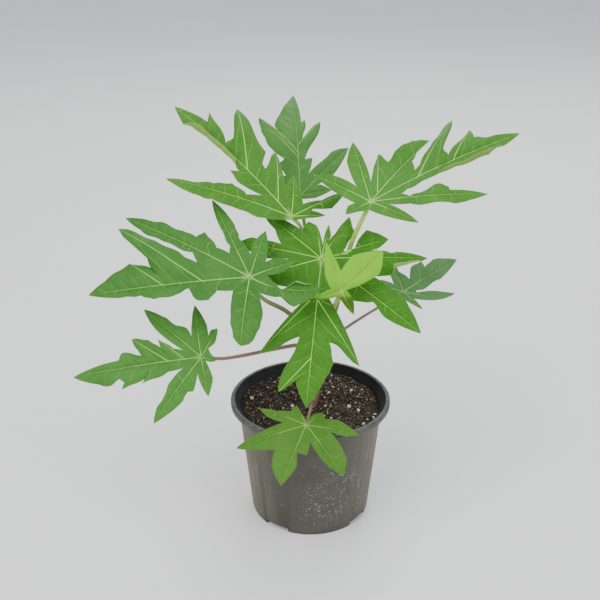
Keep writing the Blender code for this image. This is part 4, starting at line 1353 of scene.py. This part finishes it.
@dataclass
class Stalk:
    """A leaf stalk: one tapering limb from the stem to its blade.

    foot_swell and end_swell widen it by that share at its two ends, and die away over the lengths
    foot_length and end_length.  sink is how deep its foot starts inside the stem's skin.
    """

    name: str
    petiole: Petiole
    blade: Blade
    finish: StalkFinish
    stem: Stem
    points: int = 90
    sides: int = 20
    foot_swell: float = 0.22
    foot_length: float = 0.0030
    end_swell: float = 0.16
    end_length: float = 0.0022
    sink: float = 0.0012

    def ends(self) -> tuple[np.ndarray, np.ndarray, np.ndarray, np.ndarray]:
        """Where the stalk leaves the stem and meets the blade, and its two end directions."""
        stalk, leaf = self.petiole, self.blade.leaf
        turn, rise = math.radians(stalk.turn), math.radians(stalk.rise)
        level = np.array([math.cos(turn), math.sin(turn), 0.0])
        start_way = level * math.cos(rise) + np.array([0.0, 0.0, math.sin(rise)])
        height = np.array([stalk.height])
        clear = self.stem.radius(height)[0] + SOIL_GAP + stalk.base_radius * math.sin(rise)
        start = self.stem.centre(height)[0] + level * clear
        target = np.array(stalk.via[-1]) if stalk.via else start
        junction = np.array(leaf.junction)
        end_way = unit(junction - target)
        outward = self.blade.axes()[2]
        end = junction - outward * (self.blade.groove + 0.0002)
        return start, start_way, end, end_way

    def path(self) -> np.ndarray:
        """Centre line: cubic arcs through the stalk's stops, each with given end directions."""
        start, start_way, end, end_way = self.ends()
        stops = [start, *(np.array(point) for point in self.petiole.via), end]
        ways = [start_way]
        ways += [unit(after - before) for before, after in zip(stops[:-2], stops[2:])]
        ways += [end_way]
        count = self.points // (len(stops) - 1)
        share = np.linspace(0.0, 1.0, count, endpoint=False)[:, None]
        square, cube = share**2, share**3
        runs = []
        for first, second, leave, arrive in zip(stops[:-1], stops[1:], ways[:-1], ways[1:]):
            length = np.linalg.norm(second - first)
            runs.append(
                first * (2 * cube - 3 * square + 1)
                + leave * length * (cube - 2 * square + share)
                + second * (3 * square - 2 * cube)
                + arrive * length * (cube - square)
            )
        inside = start - start_way * self.sink
        return np.concatenate([[inside], *runs, [end]])

    def build(self) -> list[bpy.types.Object]:
        """Make the stalk, swollen at its foot and widened where the veins meet."""
        path = self.path()
        steps = np.linalg.norm(np.diff(path, axis=0), axis=-1)
        walked = np.concatenate([[0.0], np.cumsum(steps)])
        share = walked / walked[-1]
        stalk = self.petiole
        radius = stalk.base_radius + (stalk.end_radius - stalk.base_radius) * share**0.7
        radius = radius * (1 + self.foot_swell * np.exp(-walked / self.foot_length))
        left = walked[-1] - walked
        radius = radius * (1 + self.end_swell * np.exp(-left / self.end_length))
        turn = np.linspace(0.0, math.tau, self.sides + 1)
        places = skin_places(walked * 120, turn, 1.6)
        relief = 0.05 * noise(places, 11, 2) + 0.025 * np.cos(5 * turn)[None, :]
        relief[:, -1] = relief[:, 0]
        surface = Surface()
        tube(surface, path, radius, self.sides, relief)
        piece = surface.build("stalk_" + self.name, [self.finish.skin()])
        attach(piece, "root")
        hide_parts("petiole_" + self.name)
        return [piece]


# ------------------------------------------------------------------ pot and soil


@dataclass
class Pot:
    """The nursery pot: the solid's own form with smooth walls.

    An edge stays sharp where its faces meet at more than crease degrees.
    """

    crease: float = 32.0

    def plastic(self) -> bpy.types.Material:
        """Dusty dark plastic: faint upright streaks, dried water spots, a worn lip, painted sheen on
        the flanks and painted shade on the inner wall.
        """
        shader = Shader("pot_plastic", specular_ior_level=0.38)
        x, y, z = shader.place()
        radius = (x * x + y * y) ** 0.5
        lip = z.rise(0.1025, 0.1040) * radius.rise(0.0650, 0.0670)
        wall = POT_BASE_RADIUS + POT_SLOPE * z
        # Painted shade: the inner wall above the soil is marked here, to be painted near black and made
        # rougher.
        under_lip = z.rise(0.1036, 0.1034)
        in_lip = z.rise(0.1034, 0.1036)
        inside = (wall - 0.0001 - radius).rise(0.0002, 0.0005) * under_lip
        inside = (inside + radius.rise(0.0668, 0.0658) * in_lip).at_most(1.0)
        inside = inside * z.rise(0.090, 0.098)
        dust = shader.cloud(34.0, 4.0, 0.6).rise(0.30, 0.72)
        streak = shader.cloud(50.0, 3.0, 0.6, shader.stretched((4.5, 4.5, 0.28))).rise(0.38, 0.70)
        grain = shader.cloud(900.0, 2.0)
        colour = shader.blend((0.055, 0.051, 0.041), (0.080, 0.074, 0.058), dust)
        colour = shader.blend(colour, (0.095, 0.083, 0.060), streak * 0.30)
        # Painted sheen: a warm brown on the left and right flanks below the lip.
        painted_flank_sheen = abs(x).rise(0.030, 0.058) * z.rise(0.104, 0.092)
        colour = shader.blend(colour, (0.120, 0.100, 0.060), painted_flank_sheen * 0.70)
        colour = shader.blend(colour, (0.12, 0.114, 0.098), grain.rise(0.56, 0.74) * 0.3)
        worn = shader.cloud(120.0, 4.0, 0.65).rise(0.35, 0.7)
        colour = shader.blend(colour, (0.045, 0.048, 0.044), lip)
        colour = shader.blend(colour, (0.105, 0.105, 0.095), lip * worn * 0.5)
        # Painted shade on the inner wall.
        colour = shader.blend(colour, (0.0045, 0.0055, 0.0055), inside)
        front = x.rise(-0.045, 0.0) * x.rise(0.066, 0.030) * y.rise(0.0, -0.02)
        tall = z.rise(0.002, 0.024) * z.rise(0.092, 0.060)
        heart = x.rise(-0.010, 0.010) * x.rise(0.036, 0.016) * y.rise(0.0, -0.02)
        heart = heart * z.rise(0.018, 0.030) * z.rise(0.070, 0.046)
        spread = (front * tall * shader.cloud(40.0, 3.0).rise(0.40, 0.60) + heart).at_most(1.0)
        tiny = shader.cells(800.0).rise(0.30, 0.18) * shader.cloud(240.0, 2.0).rise(0.46, 0.58)
        small = shader.cells(430.0).rise(0.32, 0.20) * shader.cloud(170.0, 2.0).rise(0.50, 0.62)
        spots = (tiny + small).at_most(1.0)
        elsewhere = spots * shader.cloud(26.0, 2.0).rise(0.55, 0.68)
        colour = shader.blend(colour, (0.45, 0.45, 0.43), spots * spread * (1.0 - inside) * 0.85)
        colour = shader.blend(colour, (0.27, 0.27, 0.25), elsewhere * (1.0 - inside) * 0.35)
        foot = z.rise(0.006, 0.0)
        colour = shader.blend(colour, (0.045, 0.043, 0.040), foot * 0.6)
        shader.bump(grain + 0.4 * streak, 0.00012, 0.6)
        return shader.finish(colour, 0.46 + 0.16 * dust + 0.10 * streak + 0.25 * inside)

    def build(self) -> list[bpy.types.Object]:
        """Merge a copy of the pot's solid into clean faces and smooth its round walls."""
        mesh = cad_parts["pot"].data.copy()
        mesh.name = "nursery_pot"
        shape = bmesh.new()
        shape.from_mesh(mesh)
        bmesh.ops.remove_doubles(shape, verts=shape.verts, dist=0.00001)
        bmesh.ops.dissolve_limit(
            shape, angle_limit=math.radians(0.5), verts=shape.verts, edges=shape.edges
        )
        shape.to_mesh(mesh)
        shape.free()
        mesh.shade_smooth()
        mesh.set_sharp_from_angle(angle=math.radians(self.crease))
        mesh.materials.clear()
        mesh.materials.append(self.plastic())
        pot = bpy.data.objects.new("nursery_pot", mesh)
        bpy.context.scene.collection.objects.link(pot)
        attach(pot, "root")
        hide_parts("pot")
        return [pot]


class Grain(Enum):
    """The loose bits in the potting mix: how many, their size, shape and colour."""

    CRUMB = ("crumb", 5200, 0.0007, 0.0026, (1.0, 0.9, 0.7))
    BARK = ("bark_bit", 1000, 0.0010, 0.0034, (1.0, 0.60, 0.35))
    TAN = ("tan_bit", 700, 0.0005, 0.0020, (1.0, 0.75, 0.55))
    PERLITE = ("perlite", 380, 0.0005, 0.0016, (1.0, 0.95, 0.85))
    LUMP = ("perlite_lump", 24, 0.0020, 0.0038, (1.0, 0.92, 0.85))

    def __init__(
        self, label: str, count: int, smallest: float, largest: float, shape: Colour
    ) -> None:
        """Keep the kind's name, count, sizes and the proportions of its bits."""
        self.label = label
        self.count = count
        self.smallest = smallest
        self.largest = largest
        self.shape = shape


@dataclass
class Soil:
    """The potting mix: a crumbly top over the root ball, strewn with perlite and bark.

    sink is how far the top lies under the root ball's own level, heap_low and heap_high how high
    it heaps in front and behind, and skirt how deep its edge reaches down.
    """

    rings: int = 150
    spokes: int = 420
    seed: int = 4
    sink: float = 0.0008
    heap_low: float = 0.0006
    heap_high: float = 0.0052
    skirt: float = 0.006

    def height(self, x: np.ndarray, y: np.ndarray) -> np.ndarray:
        """The top's height: a heap behind and left of the stem, with noise in three sizes.

        Args:
            x: places along X in metres.
            y: places along Y in metres.

        Returns:
            Heights in metres.
        """
        places = np.stack([x, y], axis=-1)
        radius = np.hypot(x, y)
        heap = smoothstep(0.006, 0.030, np.hypot(x - STEM_FOOT_X, y))
        more = (self.heap_high - self.heap_low) * smoothstep(-0.030, 0.040, y - 0.4 * x)
        heap = heap * (self.heap_low + more)
        level = SOIL_LEVEL - self.sink + heap * (1 - 0.35 * smoothstep(0.042, SOIL_RADIUS, radius))
        for depth, scale, pattern in ((0.0012, 70, 2), (0.0008, 260, 7), (0.0004, 800, 12)):
            level = level + depth * noise(places * scale, pattern, 2)
        calm = smoothstep(0.004, 0.010, np.hypot(x - STEM_FOOT_X, y))
        return SOIL_LEVEL + (level - SOIL_LEVEL) * calm

    def mix(self) -> bpy.types.Material:
        """Moist dark peat with browner and paler flecks."""
        shader = Shader("peat_mix", specular_ior_level=0.25)
        broad = shader.cloud(60.0, 4.0).rise(0.35, 0.7)
        fine = shader.cloud(700.0, 5.0, 0.7).rise(0.40, 0.70)
        colour = shader.blend((0.009, 0.008, 0.006), (0.026, 0.019, 0.013), broad)
        colour = shader.blend(colour, (0.085, 0.056, 0.038), fine * 0.55)
        fleck = shader.cells(900.0).rise(0.26, 0.14) * shader.cloud(300.0, 2.0).rise(0.55, 0.64)
        colour = shader.blend(colour, (0.34, 0.31, 0.25), fleck * 0.7)
        shader.bump(fine + broad, 0.0006, 1.0)
        return shader.finish(colour, 0.85 + 0.1 * fine)

    def bit_finish(self, grain: Grain) -> bpy.types.Material:
        """The finish of one kind of loose bit, with painted shade on the bits at the far left."""
        shades = {
            Grain.CRUMB: ((0.009, 0.008, 0.006), (0.075, 0.058, 0.040), 0.9),
            Grain.BARK: ((0.055, 0.030, 0.020), (0.20, 0.125, 0.090), 0.8),
            Grain.TAN: ((0.10, 0.08, 0.045), (0.26, 0.23, 0.14), 0.8),
            Grain.PERLITE: ((0.40, 0.39, 0.34), (0.74, 0.73, 0.68), 0.75),
            Grain.LUMP: ((0.38, 0.37, 0.28), (0.66, 0.64, 0.55), 0.75),
        }
        dark, light, roughness = shades[grain]
        shader = Shader(grain.label, specular_ior_level=0.3)
        x, y, _ = shader.place()
        share = shader.cloud(330.0, 4.0, 0.65).rise(0.32, 0.68)
        # Paler towards the right and back, and painted shade darkens the bits at the far left by the
        # pot wall.
        paler_right_and_painted_shade = (x + 0.5 * y).rise(-0.020, 0.030) * 0.5 - (x - y).rise(-0.050, -0.095) * 0.4
        share = (share + paler_right_and_painted_shade).at_most(1.0).at_least(0.0)
        shader.bump(share, 0.0003, 0.8)
        return shader.finish(shader.blend(dark, light, share), roughness + 0.06 * share)

    def bits(self, grain: Grain) -> bpy.types.Object:
        """Strew one kind of bit: a coarse lump, stretched, turned and dented for each copy.

        Args:
            grain: the kind of bit.

        Returns:
            All copies as one piece.
        """
        random = np.random.default_rng(self.seed + grain.count)
        shape = bmesh.new()
        bmesh.ops.create_icosphere(shape, subdivisions=1, radius=1.0)
        lump = np.array([vert.co[:] for vert in shape.verts])
        sides = np.array([[vert.index for vert in face.verts] for face in shape.faces])
        shape.free()
        count = grain.count
        radius = (SOIL_RADIUS - 0.0015) * np.sqrt(random.random(count))
        turn = random.random(count) * math.tau
        x, y = radius * np.cos(turn), radius * np.sin(turn)
        away = np.hypot(x - STEM_FOOT_X, y) > STEM_RADIUS + FLARE + grain.largest
        x, y = x[away], y[away]
        count = len(x)
        size = grain.smallest + (grain.largest - grain.smallest) * random.random(count) ** 2.2
        dents = 1 + 0.28 * (random.random((count, len(lump), 1)) - 0.5)
        copies = lump[None] * dents * np.array(grain.shape) * size[:, None, None] * 0.5
        spin = random.random(count) * math.tau
        tip = (random.random(count) - 0.5) * 1.1
        cos, sin = np.cos(spin)[:, None], np.sin(spin)[:, None]
        lean_cos, lean_sin = np.cos(tip)[:, None], np.sin(tip)[:, None]
        leant = copies.copy()
        leant[..., 0] = copies[..., 0] * lean_cos + copies[..., 2] * lean_sin
        leant[..., 2] = copies[..., 2] * lean_cos - copies[..., 0] * lean_sin
        placed = np.empty_like(leant)
        placed[..., 0] = leant[..., 0] * cos - leant[..., 1] * sin + x[:, None]
        placed[..., 1] = leant[..., 0] * sin + leant[..., 1] * cos + y[:, None]
        lift = 0.10 + 0.25 * random.random(count)
        placed[..., 2] = leant[..., 2] + (self.height(x, y) + lift * size)[:, None]
        faces = sides[None] + (np.arange(count) * len(lump))[:, None, None]
        surface = Surface()
        surface.add_faces(placed.reshape(-1, 3), faces.reshape(-1, 3))
        piece = surface.build(grain.label + "s", [self.bit_finish(grain)])
        piece.data.shade_flat()
        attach(piece, "root")
        return piece

    def build(self) -> list[bpy.types.Object]:
        """Dress the root ball, and make its crumbly top and the loose bits."""
        mix = self.mix()
        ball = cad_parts["root_ball"]
        for slot in ball.material_slots:
            slot.material = mix
        share = np.linspace(0.0, 1.0, self.rings) ** 0.8
        turn = np.linspace(0.0, math.tau, self.spokes + 1)
        turn[-1] = 0.0
        radius = share * SOIL_RADIUS
        x, y = radius[:, None] * np.cos(turn), radius[:, None] * np.sin(turn)
        top = np.stack([x, y, self.height(x, y)], axis=-1)
        floor = top[::-30].copy()
        floor[..., 2] = SOIL_LEVEL - self.skirt
        surface = Surface()
        closing = np.broadcast_to(floor[-1:, :1], top[:1].shape)
        surface.add_grid(np.concatenate([top, floor, closing]))
        crust = surface.build("soil_top", [mix])
        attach(crust, "root")
        return [crust, *(self.bits(grain) for grain in Grain)]


# ------------------------------------------------------------------ studio


@dataclass
class Studio:
    """A plain pale floor, soft lights and the camera."""

    eye: tuple[float, float, float] = (-0.0091, -0.8059, 0.5686)
    pitch: float = 24.4
    lens: float = 63.0

    def floor(self) -> None:
        """A wide pale floor under the pot."""
        surface = Surface()
        edge = np.linspace(-6.0, 6.0, 9)
        x, y = np.meshgrid(edge, edge)
        surface.add_grid(np.stack([x, y, np.zeros_like(x)], axis=-1))
        shader = Shader("pale_floor", specular_ior_level=0.2)
        colour = shader.blend((0.80, 0.80, 0.80), (0.84, 0.84, 0.84), shader.cloud(4.0, 2.0))
        floor = surface.build("floor", [shader.finish(colour, 0.8)])

    def light(self, name: str, place: Colour, size: float, power: float, tint: Colour) -> None:
        """A square soft light that looks at the plant.

        Args:
            name: the light's name.
            place: where it hangs.
            size: its side.
            power: its power in watts.
            tint: its colour.
        """
        data = bpy.data.lights.new(name, "AREA")
        data.size = size
        data.energy = power
        data.color = tint
        lamp = bpy.data.objects.new(name, data)
        bpy.context.scene.collection.objects.link(lamp)
        lamp.location = place
        aim = unit(np.array([0.0, 0.0, 0.18]) - np.array(place))
        lamp.rotation_euler = (
            math.acos(-aim[2]),
            0.0,
            math.atan2(aim[1], aim[0]) - math.pi / 2,
        )

    def build(self) -> None:
        """Set up the floor, the lights, the sky and the camera."""
        self.floor()
        self.light("key_light", (-0.9, -1.1, 1.7), 1.4, 35.0, (1.0, 0.985, 0.96))
        self.light("fill_light", (1.3, -0.8, 1.2), 1.6, 15.0, (0.97, 0.985, 1.0))
        self.light("back_light", (0.3, 1.3, 1.5), 1.2, 18.0, (1.0, 1.0, 1.0))
        world = bpy.data.worlds.new("soft_sky")
        world.use_nodes = True
        sky = world.node_tree.nodes["Background"]
        sky.inputs["Color"].default_value = (0.93, 0.96, 1.0, 1.0)
        sky.inputs["Strength"].default_value = 0.84
        bpy.context.scene.world = world
        data = bpy.data.cameras.new("camera")
        data.lens = self.lens
        data.sensor_width = 36.0
        data.sensor_fit = "HORIZONTAL"
        data.clip_start = 0.01
        camera = bpy.data.objects.new("camera", data)
        bpy.context.scene.collection.objects.link(camera)
        camera.location = self.eye
        camera.rotation_euler = (math.radians(90.0 - self.pitch), 0.0, 0.0)
        bpy.context.scene.camera = camera


# ------------------------------------------------------------------ the whole plant

LEAF_FINISHES = {
    "upper_left": LeafFinish(
        "upper_left_green", (0.050, 0.198, 0.014), (0.038, 0.160, 0.010), (0.46, 0.80, 0.16),
        under=(0.190, 0.350, 0.055),
    ),
    "upper_back": LeafFinish(
        "upper_back_green", (0.061, 0.198, 0.034), (0.042, 0.153, 0.024), (0.24, 0.46, 0.09),
    ),
    "upper_right": LeafFinish(
        "upper_right_green", (0.053, 0.206, 0.018), (0.040, 0.168, 0.014), (0.40, 0.72, 0.17),
        under=(0.150, 0.290, 0.045),
    ),
    "mid_left": LeafFinish(
        "mid_left_green", (0.044, 0.176, 0.020), (0.028, 0.137, 0.014), (0.34, 0.66, 0.13),
    ),
    "low_left": LeafFinish(
        "low_left_green", (0.053, 0.202, 0.025), (0.036, 0.159, 0.017), (0.34, 0.60, 0.12),
    ),
    "front": LeafFinish(
        "front_green", (0.042, 0.186, 0.007), (0.030, 0.150, 0.005), (0.40, 0.78, 0.13),
    ),
    "young": LeafFinish(
        "young_green", (0.182, 0.500, 0.010), (0.160, 0.460, 0.010), (0.40, 0.56, 0.10),
        side_strength=0.10, vein_strength=0.65, fold=0.238,
    ),
    "mid_right": LeafFinish(
        "mid_right_green", (0.081, 0.213, 0.063), (0.057, 0.163, 0.046), (0.30, 0.52, 0.14),
    ),
    "lowest": LeafFinish(
        "lowest_green", (0.062, 0.184, 0.015), (0.046, 0.154, 0.011), (0.26, 0.46, 0.09),
    ),
}

STALK_COLOURS: dict[str, tuple[Colour, Colour]] = {
    "upper_left": ((0.13, 0.20, 0.04), (0.26, 0.42, 0.08)),
    "upper_back": ((0.10, 0.16, 0.035), (0.15, 0.25, 0.05)),
    "upper_right": ((0.11, 0.17, 0.015), (0.44, 0.66, 0.075)),
    "mid_left": ((0.17, 0.16, 0.05), (0.24, 0.27, 0.08)),
    "low_left": ((0.20, 0.115, 0.080), (0.23, 0.135, 0.090)),
    "front": ((0.17, 0.19, 0.05), (0.25, 0.31, 0.06)),
    "young": ((0.24, 0.30, 0.07), (0.42, 0.50, 0.09)),
    "mid_right": ((0.22, 0.14, 0.105), (0.24, 0.16, 0.115)),
    "lowest": ((0.16, 0.09, 0.055), (0.22, 0.19, 0.07)),
}

CURLS: dict[str, tuple[Curl, ...]] = {
    "upper_left": (Curl(3, Side.LEFT, 0.30, 165.0, 0.36, 0.83, 0.40),),
    "upper_right": (Curl(2, Side.RIGHT, 0.48, 165.0, 0.32, 0.86, 0.40),),
    "mid_left": (Curl(0, Side.LEFT, 0.45, 150.0, 0.30, 0.85, 0.40),),
    "front": (Curl(0, Side.RIGHT, 0.50, 160.0, 0.45, 0.98, 0.55),),
}


def write_sizes() -> None:
    """Update the view layer."""
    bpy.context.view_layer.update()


def main() -> None:
    """Build every part of the plant in order and report each piece."""
    logging.basicConfig(level=logging.INFO, format="%(name)s: %(message)s")
    stem = Stem()
    parts: list[Union[Pot, Soil, Stem, Stalk, Blade]] = [Pot(), Soil(), stem]
    for name, leaf in LEAVES.items():
        blade = Blade(name, leaf, LEAF_FINISHES[name], CURLS.get(name, ()))
        skin = StalkFinish("stalk_" + name, *STALK_COLOURS[name])
        parts += [blade, Stalk(name, PETIOLES[name], blade, skin, stem)]
    for part in parts:
        for piece in part.build():
            LOG.info("%s: %d faces", piece.name, len(piece.data.polygons))
    Studio().build()
    write_sizes()


if __name__ == "__main__":
    main()
